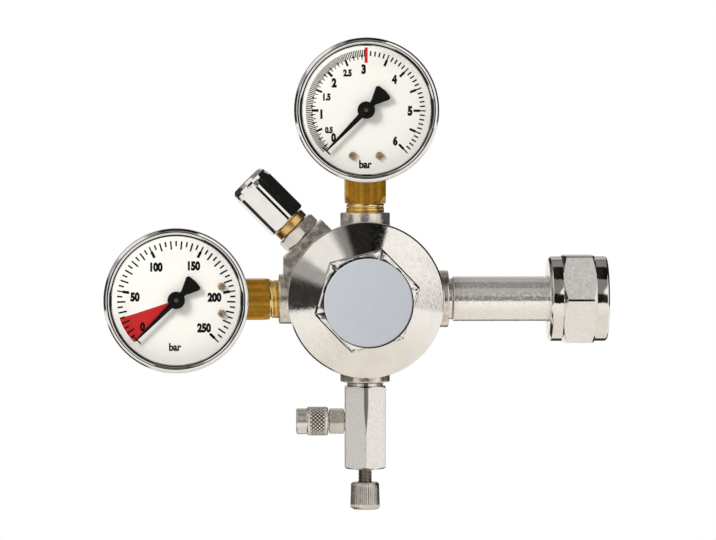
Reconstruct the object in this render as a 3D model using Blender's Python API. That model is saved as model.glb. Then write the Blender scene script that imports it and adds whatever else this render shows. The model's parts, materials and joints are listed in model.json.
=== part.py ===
"""Carbon dioxide regulator: a preset single-stage bottle regulator with two gauges, a relief valve and a needle valve.

Lengths below are in millimetres and are turned into metres by MM. The regulator's centre is where the axes of its
five ports cross. The origin is on the inlet's axis, at the face of the gasket that the bottle's valve seals on.
"""

import math

import bmesh
import bpy
from mathutils import Vector

for thing in list(bpy.data.objects):
    bpy.data.objects.remove(thing, do_unlink=True)

MM = 0.001
GAP = 0.3            # clearance between pieces that touch
RUN = 0.3            # clearance of a piece that turns or slides
CUT = 1.0            # how far a cutter passes the face that it opens
FLAT_TURNED = 0.2    # how far inside its flats the cone on a hexagon's end starts
SIDES_FINE, SIDES_ROUND, SIDES_SMALL, SIDES_TINY = 36, 18, 12, 7    # sides of a circle, by its size
HEX_CONE = 30.0      # slope of a turned hexagon's end, in degrees

# Body, along its own axis, forward from the plane of the ports
BODY_R = 25.2
BODY_FRONT, BODY_SHOULDER, BODY_REAR = 9.9, -9.5, -16.0
BODY_EDGE = 1.2
BODY_REAR_R, BODY_REAR_EDGE = 14.0, 1.0
CUP_R, CUP_FLOOR = BODY_R - 4.4, 1.0
CHAMBER_R, CHAMBER_FLOOR = CUP_R - 3.3, -3.0
REAR_BORE_R, REAR_BORE_END = 6.5, -6.5
NOZZLE_BORE_R = 5.0

# Ports: how far each boss reaches from the centre, and its radius
PORT_FLOOR = CHAMBER_R + 4.5
BOSS_ROOT, BOSS_EDGE = 5.0, 0.6
SIDE_BOSS_R, SIDE_BOSS_END = 8.6, BODY_R + 4.8
INLET_BOSS_R, INLET_BOSS_END = 9.85, BODY_R + 3.6
OUTLET_BOSS_END = BODY_R + 3.6
RELIEF_END = BODY_R + 5.0
PAD_LOW, PAD_HIGH = 9.9, 8.75
PAD_ROOT = BODY_R - 4.0
PAD_SIDE_X, PAD_HALF_DEPTH = BODY_R + 3.2, 7.6
GAUGE_THREAD_R = 6.58
INLET_THREAD_R = 8.0
RELIEF_THREAD_R = 4.9
OUTLET_THREAD_R = 6.0
PASSAGE_R = 1.3
PASSAGE_START, PASSAGE_START_DEPTH = PORT_FLOOR + 2, -4.2    # a high pressure passage slants to the rear bore
PASSAGE_END, PASSAGE_END_DEPTH = 4.0, -9.8

# Bonnet
BONNET_R = BODY_R + 1.8
FLANGE_THICK, RIM_ROUND = 2.6, 0.5
HEX_FACE = 20.8
HEX_FLATS, HEX_TURN, HEX_CORNER_CUT, CONE_STEP = BODY_R + 6.5, 14.0, 1.1, 0.1
SPIGOT_R, SPIGOT_BORE_R, SPIGOT_END = CUP_R - GAP, CUP_R - 4, 3.7
SPRING_ROOM_START, SPRING_ROOM_END, SPRING_ROOM_TAPER = 8.5, 17.6, 1.5
LABEL_R, LABEL_THICK, LABEL_EDGE = HEX_FLATS / 2 - 0.7, 0.9, 0.35
LABEL_X, LABEL_Z = 0.3, -0.5

# Regulating parts inside
DIAPHRAGM_R, DIAPHRAGM_THICK = CUP_R - 0.4, 0.8
FOLD, FOLD_WIDE = 1.0, 1.3
RING_INNER_R, RING_THICK = CUP_R - 3.4, 1.0
PLATE_R, PLATE_THICK, PLATE_NECK = CUP_R - 7.8, 2.0, 1.6
SPRING_R, SPRING_WIRE_R, SPRING_TURNS = PLATE_R - 3.4, 1.1, 3.5
PLATE_NECK_R = SPRING_R - SPRING_WIRE_R - 0.9
BUTTON_R, BUTTON_THICK, BUTTON_EDGE = SPRING_R + 1, 2.0, 0.6
SPRING_ROOM_R = BUTTON_R + 3.9
SCREW_R, SCREW_SOCKET_FLATS, SCREW_SOCKET_DEEP, SCREW_TIP = 4.0, 3.0, 2.0, 1.1
NOZZLE_R, NOZZLE_BORE, NOZZLE_LIP = 4.7, 1.5, 0.6
NOZZLE_NECK, NOZZLE_FLANGE, NOZZLE_FLANGE_THICK = 3.5, 1.5, 1.2
POPPET_TRAVEL = 0.6
POPPET_R, POPPET_HEIGHT, POPPET_PIN_R, POPPET_TAIL_R, POPPET_TAIL = 3.2, 3.4, 0.9, 1.6, 3.0
BACK_SPRING_R, BACK_SPRING_WIRE_R, BACK_SPRING_TURNS = 2.5, 0.4, 4
PLUG_FLATS, PLUG_HEAD, PLUG_THREAD_R, PLUG_THREAD = 17.0, 5.0, 6.2, 3.4
PLUG_POCKET_R, PLUG_POCKET, THREAD_EDGE = 3.5, 4.4, 0.4

# Inlet, along its axis from the centre
STEM_R, STEM_NECK_R, STEM_NECK, STEM_CHAMFER = 7.75, 7.1, 1.1, 0.8
STEM_BORE_R = 2.5
NUT_START, NUT_LENGTH = INLET_BOSS_END + 34.8, 20.4
NUT_FLATS, NUT_COLLAR_R, NUT_COLLAR_BACK_EDGE, NUT_COLLAR_EDGE = 30.0, 14.35, 0.9, 0.6
NUT_COLLAR_LEFT, NUT_COLLAR_RIGHT = 4.5, 4.3
NUT_BACK, NUT_BORE_R, NUT_MOUTH_CHAMFER = 5.2, 10.1, 0.9
COLLAR_R, COLLAR_THICK = 9.6, 2.5
FILTER_R, FILTER_LENGTH = 3.2, 7.5
GASKET_R, GASKET_HOLE_R, GASKET_THICK = 9.0, 3.0, 2.4

# Relief valve, along its axis from the centre
RELIEF_FLATS, RELIEF_TURN = 14.0, 40.0
RELIEF_HEX, RELIEF_SLEEVE, RELIEF_CAP, RELIEF_CAP_TURNED = 4.2, 2.9, 20.1, 2.3
RELIEF_SLEEVE_R, RELIEF_SPIGOT_R, RELIEF_BORE_R, RELIEF_HOLE_R = 6.25, 4.9, 3.7, 1.5
RELIEF_VENT_R, RELIEF_POPPET_R, RELIEF_POPPET_TAIL_R, RELIEF_POPPET = 1.2, 3.3, 1.3, 4.0
RELIEF_SEAT, RELIEF_SLEEVE_TOP, RELIEF_SPRING_STOP = 3.0, 4.4, 4.0
RELIEF_DOME_START, RELIEF_DOME_EDGE, RELIEF_DOME_EDGE_LONG = 3.0, 1.2, 1.0
RELIEF_SPRING_R, RELIEF_SPRING_WIRE_R, RELIEF_SPRING_TURNS = 2.5, 0.45, 5

# Needle valve, down from the centre
BLOCK_FLATS, BLOCK_NECK_R, BLOCK_NECK, BLOCK_LENGTH = 14.0, 6.25, 1.3, 28.9
ORIFICE, BLOCK_ORIFICE_R, CHAMBER_BORE_R = OUTLET_BOSS_END + 9.7, 1.0, 3.0
OUTLET_LEVEL = OUTLET_BOSS_END + 13.7
SPINDLE_R, SPINDLE_NECK_R, SPINDLE_STEP = 2.37, 1.5, 0.6
NEEDLE_LENGTH, NEEDLE_TIP_R, NEEDLE_CLOSING, NEEDLE_CLEAR = 4.0, 0.35, 1.0, 0.1
GLAND_R, GLAND_LENGTH = 4.1, 7.0
O_RING_WIRE_R = 0.45
KNOB_TOP, KNOB_LENGTH, KNOB_R, KNOB_FOOT_R = OUTLET_BOSS_END + 34.9, 9.4, 4.9, 5.2
KNOB_RIDGES, KNOB_RIDGE, KNOB_RIDGE_ROOM, KNOB_TOP_EDGE, KNOB_FOOT_EDGE = 20, 0.35, 1.0, 0.7, 0.8
KNOB_BORE = 6.4
ADAPTER_FLATS, ADAPTER_HEX, ADAPTER_THREAD_R, ADAPTER_THREAD = 8.2, 5.3, 3.0, 2.4
ADAPTER_TURN = 24.0
BARB_R, BARB_BORE_R, BARB_RIDGE, BARB_LENGTH, BARB_TAPER = 1.7, 0.8, 0.3, 2.8, 1.5
HOSE_NUT_R, HOSE_NUT_KNURL, HOSE_NUT_NOSE_R, HOSE_NUT_NOSE = 5.0, 7.4, 4.5, 3.6
HOSE_NUT_BORE_R, HOSE_HOLE_R, HOSE_NUT_THREAD, HOSE_NUT_EDGE = 3.35, 3.2, 5.0, 0.4

# Gauges: distance of the pointer's axis from the centre, and depths forward from the shank's axis
GAUGE_REACH = SIDE_BOSS_END + 35.5
CASE_R, CASE_WALL, CASE_REAR, CASE_FRONT, CASE_EDGE = 24.0, 0.9, -11.0, 12.1, 1.2
BEZEL_R, BEZEL_FRONT, BEZEL_START, BEZEL_HOLE_R = CASE_R + 0.95, 15.9, 9.6, CASE_R - 1.9
CASE_BEND, CASE_CUT = 1.6, 4.0
BEZEL_EDGE, BEZEL_EDGE_HIGH, BEZEL_LIP, BEZEL_LIP_HIGH = 0.8, 1.0, 1.0, 0.8
WINDOW_THICK, WINDOW_PLAY = 1.6, 0.1
DIAL_R, DIAL_THICK, DIAL_HOLE = CASE_R - 1.4, 0.6, 0.8
SHANK_SIDE, SHANK_END, SHANK_CORNER, SHANK_TURNED = 14.0, SIDE_BOSS_END + 3.2, 0.9, 3.2
BLOCK_TOP, BLOCK_HALF_DEPTH = -13.0, 6.0
SCREW_DOWN, SCREW_SPREAD, SCREW_HEAD_R, SCREW_HEAD, SCREW_SHANK_R = CASE_R - 8.3, 4.6, 1.75, 0.8, 0.7
SCREW_HEAD_EDGE, SLOT_WIDE, SLOT_DEEP = 0.25, 0.5, 0.4
PLATE_WIDE, PLATE_TOP, BACK_PLATE, FRONT_PLATE, METAL = 10.0, 7.5, 0.5, 6.3, 1.0
PLATE_FOOT, PLATE_TAPER = 3.0, 2.0
PILLAR_R, PILLAR_X, PILLAR_Y = 1.2, 7.6, 5.0
LOW_PILLAR_X, LOW_PILLAR_Y = -8.0, BLOCK_TOP + 2.2
NEEDLE_LONG, NEEDLE_ROOT, NEEDLE_TIP, TAIL_LONG, TAIL_SPREAD = 18.1, 1.9, 0.5, 9.0, 19.0
NEEDLE_LIFT, NEEDLE_THICK, HUB_R, HUB_HEIGHT, HUB_BELOW, HUB_EDGE = 1.6, 0.5, 3.0, 1.6, 0.2, 0.4
ZERO_LEFT, ZERO_TOP = 225.0, 225.7
MODULE, PINION_TEETH, SECTOR_TEETH = 0.35, 8, 54
TOOTH_SHARE, TOOTH_UP, TOOTH_DOWN = 0.36, 0.8, 1.1
SHAFT_R = 0.7
SECTOR_AXIS_X = -2.5
TAIL_ARM, TAIL_ANGLE = 5.0, -5.0
TUBE_R, TUBE_HALF_THICK, TUBE_HALF_WIDE = CASE_R - 7.5, 0.9, 3.2
TUBE_FRONT, TUBE_TIP_ANGLE, TUBE_TIP_INSET, TUBE_ROOT_ANGLE = -0.9, -28.0, 5.0, 247.0
TUBE_STEPS = 24
LINK_LEVEL, LINK_HALF_WIDE, PIN_R = 2.0, 1.3, 0.5
SECTOR_LEVEL, SECTOR_THICK, SECTOR_SHOWN, SECTOR_BEFORE, PINION_PROUD = 3.3, 1.2, 9, 7, 0.2
TAIL_HALF_WIDE, LINK_THICK = 1.4, 0.8


def material(name, colour, roughness, metallic=0.0, alpha=1.0):
    """A plain finish for one kind of surface, made once."""
    found = bpy.data.materials.get(name)
    if found:
        return found
    made = bpy.data.materials.new(name)
    made.use_nodes = True
    shader = made.node_tree.nodes["Principled BSDF"]
    shader.inputs["Base Color"].default_value = (*colour, 1.0)
    shader.inputs["Roughness"].default_value = roughness
    shader.inputs["Metallic"].default_value = metallic
    shader.inputs["Alpha"].default_value = alpha
    return made


FINISHES = {
    "chrome": ((0.78, 0.78, 0.79), 0.12, 1.0),
    "satin_nickel": ((0.72, 0.72, 0.71), 0.3, 1.0),
    "brass": ((0.72, 0.5, 0.2), 0.32, 1.0),
    "steel": ((0.56, 0.57, 0.58), 0.35, 1.0),
    "label_grey": ((0.48, 0.52, 0.57), 0.4, 0.2),
    "dial_white": ((0.9, 0.9, 0.87), 0.5, 0.0),
    "pointer_black": ((0.02, 0.02, 0.02), 0.4, 0.0),
    "rubber": ((0.03, 0.03, 0.03), 0.7, 0.0),
    "nylon": ((0.85, 0.84, 0.78), 0.45, 0.0),
    "clear": ((0.9, 0.93, 0.93), 0.05, 0.0, 0.3),
}


def frame_at(name, location=(0, 0, 0), turns=(0, 0, 0), parent=None):
    """An empty that carries a group of pieces; its Z axis is the group's axis. Turns are degrees about X, Y and Z."""
    empty = bpy.data.objects.new(name, None)
    bpy.context.collection.objects.link(empty)
    empty.parent = parent
    empty.location = Vector(location) * MM
    empty.rotation_euler = [math.radians(t) for t in turns]
    return empty


def piece(name, bm, finish, carrier, location=(0, 0, 0), smooth=32.0):
    """Turns a bmesh in millimetres into one object on its carrier."""
    bmesh.ops.remove_doubles(bm, verts=bm.verts, dist=0.0005)
    bmesh.ops.recalc_face_normals(bm, faces=bm.faces)
    bmesh.ops.scale(bm, vec=(MM, MM, MM), verts=bm.verts)
    mesh = bpy.data.meshes.new(name)
    bm.to_mesh(mesh)
    bm.free()
    mesh.shade_smooth()
    mesh.set_sharp_from_angle(angle=math.radians(smooth))
    made = bpy.data.objects.new(name, mesh)
    bpy.context.collection.objects.link(made)
    made.parent = carrier
    made.location = Vector(location) * MM
    if finish:
        made.data.materials.append(material(finish, *FINISHES[finish]))
    return made


def ring_of(bm, radius, height, sides):
    """One ring of vertices about Z."""
    step = 2 * math.pi / sides
    return [bm.verts.new((radius * math.cos(step * i), radius * math.sin(step * i), height)) for i in range(sides)]


def lathe(profile, sides):
    """Spins a profile of (radius, height) points about Z. A profile that starts and ends on the axis is a solid
    body, with one flat face where it leaves the axis; any other profile closes on itself, as a ring."""
    bm = bmesh.new()
    solid = profile[0][0] == 0 and profile[-1][0] == 0
    rings = [ring_of(bm, radius, height, sides) for radius, height in profile if radius > 0]
    pairs = list(zip(rings, rings[1:]))
    if solid:
        bm.faces.new(rings[0])
        bm.faces.new(rings[-1])
    else:
        pairs.append((rings[-1], rings[0]))
    for low, high in pairs:
        for i in range(sides):
            j = (i + 1) % sides
            bm.faces.new([low[i], low[j], high[j], high[i]])
    return bm


def plug_shape(radius, low, high, sides=SIDES_SMALL, edge=0.0):
    """A round bar about Z with its ends chamfered by edge."""
    if edge:
        return lathe([(0, low), (radius - edge, low), (radius, low + edge), (radius, high - edge),
                      (radius - edge, high), (0, high)], sides)
    return lathe([(0, low), (radius, low), (radius, high), (0, high)], sides)


def prism(points, low, high, bm=None):
    """Extrudes a flat outline of (x, y) points along Z."""
    bm = bm or bmesh.new()
    bottom = [bm.verts.new((x, y, low)) for x, y in points]
    top = [bm.verts.new((x, y, high)) for x, y in points]
    bm.faces.new(bottom[::-1])
    bm.faces.new(top)
    for i in range(len(points)):
        j = (i + 1) % len(points)
        bm.faces.new([bottom[i], bottom[j], top[j], top[i]])
    return bm


def hexagon(flats, turn=0.0):
    """The six corners of a hexagon across flats, with one corner at turn degrees."""
    corner = flats / math.sqrt(3)
    return [(corner * math.cos(math.radians(turn + 60 * i)), corner * math.sin(math.radians(turn + 60 * i)))
            for i in range(6)]


def box(low, high):
    """A block between two corners."""
    points = [(low[0], low[1]), (high[0], low[1]), (high[0], high[1]), (low[0], high[1])]
    return prism(points, low[2], high[2])


def apply_boolean(target, tool, operation):
    """Cuts, joins or intersects target with tool, and takes the tool away."""
    step = target.modifiers.new("step", "BOOLEAN")
    step.operation = operation
    step.object = tool
    step.solver = "EXACT"
    bpy.context.view_layer.update()
    seen = target.evaluated_get(bpy.context.evaluated_depsgraph_get())
    mesh = bpy.data.meshes.new_from_object(seen)
    target.modifiers.clear()
    old = target.data
    target.data = mesh
    mesh.name = old.name
    bpy.data.meshes.remove(old)
    bpy.data.objects.remove(tool)
    mesh.shade_smooth()
    mesh.set_sharp_from_angle(angle=math.radians(32))


def add(target, bm, carrier=None, location=(0, 0, 0)):
    apply_boolean(target, piece("tool", bm, None, carrier or target.parent, location), "UNION")


def cut(target, bm, carrier=None, location=(0, 0, 0)):
    apply_boolean(target, piece("tool", bm, None, carrier or target.parent, location), "DIFFERENCE")


def meet(target, bm, carrier=None, location=(0, 0, 0)):
    apply_boolean(target, piece("tool", bm, None, carrier or target.parent, location), "INTERSECT")


def coil(radius, wire, turns, low, high, sides=4, steps=8):
    """A compression spring about Z with flat closed end turns, its wire ends capped."""
    bm = bmesh.new()
    length = high - low - 2 * wire
    count = int(turns * steps)
    rings = []
    for i in range(count + 1):
        share = i / count
        rise = min(max((share * turns - 0.5) / (turns - 1.0), 0.0), 1.0)
        angle = 2 * math.pi * turns * share
        out = Vector((math.cos(angle), math.sin(angle), 0))
        centre = out * radius + Vector((0, 0, low + wire + rise * length))
        ring = []
        for k in range(sides):
            a = 2 * math.pi * k / sides
            ring.append(bm.verts.new(centre + out * wire * math.cos(a) + Vector((0, 0, wire * math.sin(a)))))
        rings.append(ring)
    for one, two in zip(rings, rings[1:]):
        for k in range(sides):
            n = (k + 1) % sides
            bm.faces.new([one[k], one[n], two[n], two[k]])
    bm.faces.new(rings[0][::-1])
    bm.faces.new(rings[-1])
    return bm


def chamfered_hex(name, flats, low, high, finish, carrier, turn=0.0, low_r=0.0, high_r=0.0):
    """A hexagon bar. An end given a radius is turned to a 30 degree cone outside that radius, as on a nut."""
    made = piece(name, prism(hexagon(flats, turn), low, high), finish, carrier)
    reach = flats / math.sqrt(3) + CUT
    slope = math.tan(math.radians(HEX_CONE))
    low_end = [(0, low), (low_r, low), (reach, low + (reach - low_r) * slope)] if low_r else [
        (0, low - CUT), (reach, low - CUT)]
    high_end = [(reach, high - (reach - high_r) * slope), (high_r, high), (0, high)] if high_r else [
        (reach, high + CUT), (0, high + CUT)]
    meet(made, lathe(low_end + high_end, SIDES_ROUND))
    return made


# Places that several pieces share, from the sizes above
FLANGE_REAR = BODY_FRONT + GAP
FLANGE_FRONT = FLANGE_REAR + FLANGE_THICK
NUT_END = NUT_START + NUT_LENGTH
COLLAR_START = NUT_START + NUT_BACK + RUN
COLLAR_END = COLLAR_START + COLLAR_THICK
SEAL = COLLAR_END + GAP + GASKET_THICK
THREAD_START = PORT_FLOOR + 2 * GAP
CASE_LIP = CASE_FRONT + GAP
WINDOW_FRONT = CASE_LIP + WINDOW_THICK

centre = frame_at("centre", (-SEAL, 0, 0))
front = frame_at("front", turns=(90, 0, 0), parent=centre)
right = frame_at("right", turns=(0, 90, 0), parent=centre)
left = frame_at("left", turns=(0, -90, 0), parent=centre)
up = frame_at("up", parent=centre)
down = frame_at("down", turns=(0, 180, 0), parent=centre)
slanted = frame_at("slanted", turns=(0, -45, 0), parent=centre)


def build_body():
    """The forged body: a round cup with five bosses, bored for the diaphragm, the valve and the ports."""
    core = [(0, BODY_REAR), (BODY_REAR_R - BODY_REAR_EDGE, BODY_REAR), (BODY_REAR_R, BODY_REAR + BODY_REAR_EDGE),
            (BODY_R - BODY_EDGE, BODY_SHOULDER), (BODY_R, BODY_SHOULDER + BODY_EDGE),
            (BODY_R, BODY_FRONT - BODY_EDGE), (BODY_R - BODY_EDGE, BODY_FRONT), (0, BODY_FRONT)]
    body = piece("regulator_body", lathe(core, SIDES_FINE), "chrome", front)
    along, across = Vector((-1, 1)).normalized(), Vector((1, 1)).normalized()
    low_corner = along * RELIEF_END - across * PAD_LOW
    high_corner = along * RELIEF_END + across * PAD_HIGH
    inner_corner = along * PAD_ROOT + across * PAD_HIGH
    low_corner.x = -PAD_SIDE_X
    pad = [(0, 0), tuple(inner_corner), tuple(high_corner), tuple(low_corner), (-PAD_SIDE_X, 0)]
    add(body, prism(pad[::-1], -PAD_HALF_DEPTH, PAD_HALF_DEPTH), front)
    for frame, radius, end in ((up, SIDE_BOSS_R, SIDE_BOSS_END), (left, SIDE_BOSS_R, SIDE_BOSS_END),
                               (right, INLET_BOSS_R, INLET_BOSS_END), (down, SIDE_BOSS_R, OUTLET_BOSS_END)):
        boss = [(0, BOSS_ROOT), (radius, BOSS_ROOT), (radius, end - BOSS_EDGE), (radius - BOSS_EDGE, end), (0, end)]
        add(body, lathe(boss, SIDES_ROUND), frame)
    cup = [(0, CHAMBER_FLOOR), (CHAMBER_R, CHAMBER_FLOOR), (CHAMBER_R, CUP_FLOOR), (CUP_R, CUP_FLOOR),
           (CUP_R, BODY_FRONT + CUT), (0, BODY_FRONT + CUT)]
    cut(body, lathe(cup, SIDES_FINE), front)
    rear = [(0, BODY_REAR - CUT), (REAR_BORE_R, BODY_REAR - CUT), (REAR_BORE_R, REAR_BORE_END),
            (NOZZLE_BORE_R, REAR_BORE_END), (NOZZLE_BORE_R, CHAMBER_FLOOR + CUT), (0, CHAMBER_FLOOR + CUT)]
    cut(body, lathe(rear, SIDES_ROUND), front)
    low_side = Vector((0, -CHAMBER_FLOOR / 2, 0))
    for frame, thread, end in ((up, GAUGE_THREAD_R, SIDE_BOSS_END), (slanted, RELIEF_THREAD_R, RELIEF_END),
                               (down, OUTLET_THREAD_R, OUTLET_BOSS_END)):
        cut(body, plug_shape(thread + GAP, PORT_FLOOR, end + CUT, SIDES_ROUND), frame)
        passage = plug_shape(PASSAGE_R, CHAMBER_R - 2, PORT_FLOOR + CUT, SIDES_TINY)
        bmesh.ops.translate(passage, vec=low_side, verts=passage.verts)
        cut(body, passage, frame)
    for frame, thread, end in ((left, GAUGE_THREAD_R, SIDE_BOSS_END), (right, INLET_THREAD_R, INLET_BOSS_END)):
        cut(body, plug_shape(thread + GAP, PORT_FLOOR, end + CUT, SIDES_ROUND), frame)
        start = Vector((0, -PASSAGE_START_DEPTH, PASSAGE_START))
        run = Vector((0, -PASSAGE_END_DEPTH, PASSAGE_END)) - start
        passage = plug_shape(PASSAGE_R, 0, run.length, SIDES_TINY)
        turn = Vector((0, 0, 1)).rotation_difference(run).to_matrix()
        bmesh.ops.rotate(passage, cent=(0, 0, 0), matrix=turn, verts=passage.verts)
        bmesh.ops.translate(passage, vec=start, verts=passage.verts)
        cut(body, passage, frame)


def build_bonnet():
    """The conical bonnet. Its hexagon stands out of the cone only at the corners; a round plate sits on it."""
    flat = HEX_FLATS / 2
    shape = [(0, SPRING_ROOM_END), (SPRING_ROOM_R, SPRING_ROOM_END),
             (SPRING_ROOM_R, SPRING_ROOM_START), (SPIGOT_BORE_R, SPRING_ROOM_START - SPRING_ROOM_TAPER),
             (SPIGOT_BORE_R, SPIGOT_END), (SPIGOT_R, SPIGOT_END), (SPIGOT_R, FLANGE_REAR),
             (BONNET_R - RIM_ROUND, FLANGE_REAR), (BONNET_R, FLANGE_REAR + RIM_ROUND),
             (BONNET_R, FLANGE_FRONT - RIM_ROUND), (BONNET_R - RIM_ROUND, FLANGE_FRONT),
             (flat + CONE_STEP, HEX_FACE - CONE_STEP)]
    bonnet = piece("bonnet", lathe(shape + [(0, HEX_FACE - CONE_STEP)], SIDES_FINE), "satin_nickel", front)
    boss = chamfered_hex("boss", HEX_FLATS, SPRING_ROOM_END + 4 * CONE_STEP, HEX_FACE, None, front, HEX_TURN,
                         high_r=flat + HEX_CORNER_CUT)
    apply_boolean(bonnet, boss, "UNION")
    cut(bonnet, plug_shape(SCREW_R + GAP, SPRING_ROOM_END - CUT, HEX_FACE + CUT))
    low, high = HEX_FACE + GAP, HEX_FACE + GAP + LABEL_THICK
    label = [(0, low), (LABEL_R, low), (LABEL_R, high - LABEL_EDGE), (LABEL_R - LABEL_EDGE, high), (0, high)]
    piece("bonnet_label", lathe(label, SIDES_FINE), "label_grey", front, (LABEL_X, LABEL_Z, 0))


def build_regulating_parts():
    """Diaphragm, springs, nozzle and poppet, stacked along the bonnet's axis."""
    low = CUP_FLOOR + GAP
    high = low + DIAPHRAGM_THICK
    wave = [(PLATE_R + FOLD, 0), (PLATE_R + FOLD + FOLD_WIDE, -DIAPHRAGM_THICK), (PLATE_R + FOLD + 2 * FOLD_WIDE, 0)]
    under = [(0, low)] + [(r, low + dip) for r, dip in wave] + [(DIAPHRAGM_R, low)]
    over = [(DIAPHRAGM_R, high)] + [(r, high + dip) for r, dip in wave[::-1]] + [(0, high)]
    piece("diaphragm", lathe(under + over, SIDES_ROUND), "rubber", front)
    seat = high + GAP
    ring = [(RING_INNER_R, seat), (DIAPHRAGM_R, seat), (DIAPHRAGM_R, seat + RING_THICK),
            (RING_INNER_R, seat + RING_THICK)]
    piece("slip_ring", lathe(ring, SIDES_ROUND), "brass", front)
    plate_top = seat + PLATE_THICK
    plate = [(0, seat), (PLATE_R, seat), (PLATE_R, plate_top), (PLATE_NECK_R, plate_top),
             (PLATE_NECK_R, plate_top + PLATE_NECK), (0, plate_top + PLATE_NECK)]
    piece("spring_plate", lathe(plate, SIDES_ROUND), "brass", front)
    tip = SPRING_ROOM_END - SCREW_TIP
    button_top = tip - GAP
    button_low = button_top - BUTTON_THICK
    button = [(0, button_low), (BUTTON_R, button_low), (BUTTON_R, button_top - BUTTON_EDGE), (SCREW_R, button_top),
              (0, button_top)]
    piece("spring_button", lathe(button, SIDES_ROUND), "steel", front)
    spring = coil(SPRING_R, SPRING_WIRE_R, SPRING_TURNS, plate_top + GAP, button_low - GAP, 5, 12)
    piece("main_spring", spring, "steel", front)
    screw_top = HEX_FACE - GAP
    screw = piece("preset_screw", plug_shape(SCREW_R, tip, screw_top, SIDES_SMALL, THREAD_EDGE), "brass", front)
    cut(screw, prism(hexagon(SCREW_SOCKET_FLATS), screw_top - SCREW_SOCKET_DEEP, screw_top + CUT))
    flange = CHAMBER_FLOOR + GAP
    neck, flange_r, flange_top = flange - NOZZLE_NECK, NOZZLE_R + NOZZLE_FLANGE, flange + NOZZLE_FLANGE_THICK
    nozzle = [(NOZZLE_BORE, REAR_BORE_END), (NOZZLE_BORE + NOZZLE_LIP, REAR_BORE_END), (NOZZLE_BORE + 1, neck),
              (NOZZLE_R, neck), (NOZZLE_R, flange), (flange_r, flange), (flange_r, flange_top),
              (NOZZLE_BORE, flange_top)]
    piece("nozzle", lathe(nozzle, SIDES_SMALL), "brass", front)
    head = REAR_BORE_END - POPPET_TRAVEL
    back = head - POPPET_HEIGHT
    tail = back - POPPET_TAIL
    poppet = [(0, tail), (POPPET_TAIL_R, tail), (POPPET_TAIL_R, back), (POPPET_R, back), (POPPET_R, head),
              (POPPET_PIN_R, head), (POPPET_PIN_R, low - GAP), (0, low - GAP)]
    piece("valve_poppet", lathe(poppet, SIDES_SMALL), "brass", front)
    plug_face = BODY_REAR - GAP
    pocket = plug_face + PLUG_THREAD - PLUG_POCKET
    spring = coil(BACK_SPRING_R, BACK_SPRING_WIRE_R, BACK_SPRING_TURNS, pocket + GAP, back - GAP)
    piece("poppet_spring", spring, "steel", front)
    plug = chamfered_hex("rear_plug", PLUG_FLATS, plug_face - PLUG_HEAD, plug_face, "chrome", front,
                         low_r=PLUG_FLATS / 2 - FLAT_TURNED)
    add(plug, plug_shape(PLUG_THREAD_R, plug_face - CUT, plug_face + PLUG_THREAD, SIDES_SMALL, THREAD_EDGE))
    cut(plug, plug_shape(PLUG_POCKET_R, pocket, plug_face + PLUG_THREAD + CUT))


def build_inlet():
    """Stem with its filter and gasket, and the union nut that spins on it."""
    boss, neck_end = INLET_BOSS_END, INLET_BOSS_END + STEM_NECK
    pocket = COLLAR_END - FILTER_LENGTH - GAP
    stem = [(STEM_BORE_R, THREAD_START), (INLET_THREAD_R, THREAD_START), (INLET_THREAD_R, boss - GAP),
            (STEM_NECK_R, boss - GAP), (STEM_NECK_R, neck_end), (STEM_R, neck_end + STEM_CHAMFER),
            (STEM_R, COLLAR_START), (COLLAR_R, COLLAR_START), (COLLAR_R, COLLAR_END),
            (FILTER_R + GAP, COLLAR_END), (FILTER_R + GAP, pocket), (STEM_BORE_R, pocket)]
    piece("inlet_stem", lathe(stem, SIDES_ROUND), "chrome", right)
    piece("inlet_filter", plug_shape(FILTER_R, pocket + GAP, COLLAR_END - GAP, SIDES_TINY, THREAD_EDGE), "brass", right)
    gasket = [(GASKET_HOLE_R, SEAL - GASKET_THICK), (GASKET_R, SEAL - GASKET_THICK), (GASKET_R, SEAL),
              (GASKET_HOLE_R, SEAL)]
    piece("inlet_gasket", lathe(gasket, SIDES_ROUND), "nylon", right)
    nut = chamfered_hex("bottle_nut", NUT_FLATS, NUT_START + NUT_COLLAR_LEFT, NUT_END - NUT_COLLAR_RIGHT, "chrome",
                        right, 30, NUT_COLLAR_R, NUT_COLLAR_R)
    collar = [(0, NUT_START), (NUT_COLLAR_R - NUT_COLLAR_BACK_EDGE, NUT_START),
              (NUT_COLLAR_R, NUT_START + NUT_COLLAR_BACK_EDGE), (NUT_COLLAR_R, NUT_END - NUT_COLLAR_EDGE),
              (NUT_COLLAR_R - NUT_COLLAR_EDGE, NUT_END), (0, NUT_END)]
    add(nut, lathe(collar, SIDES_FINE))
    shoulder = NUT_START + NUT_BACK
    bore = [(0, NUT_START - CUT), (STEM_R + RUN, NUT_START - CUT), (STEM_R + RUN, shoulder), (NUT_BORE_R, shoulder),
            (NUT_BORE_R, NUT_END - NUT_MOUTH_CHAMFER), (NUT_BORE_R + NUT_MOUTH_CHAMFER + CUT, NUT_END + CUT),
            (0, NUT_END + CUT)]
    cut(nut, lathe(bore, SIDES_ROUND))


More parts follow.
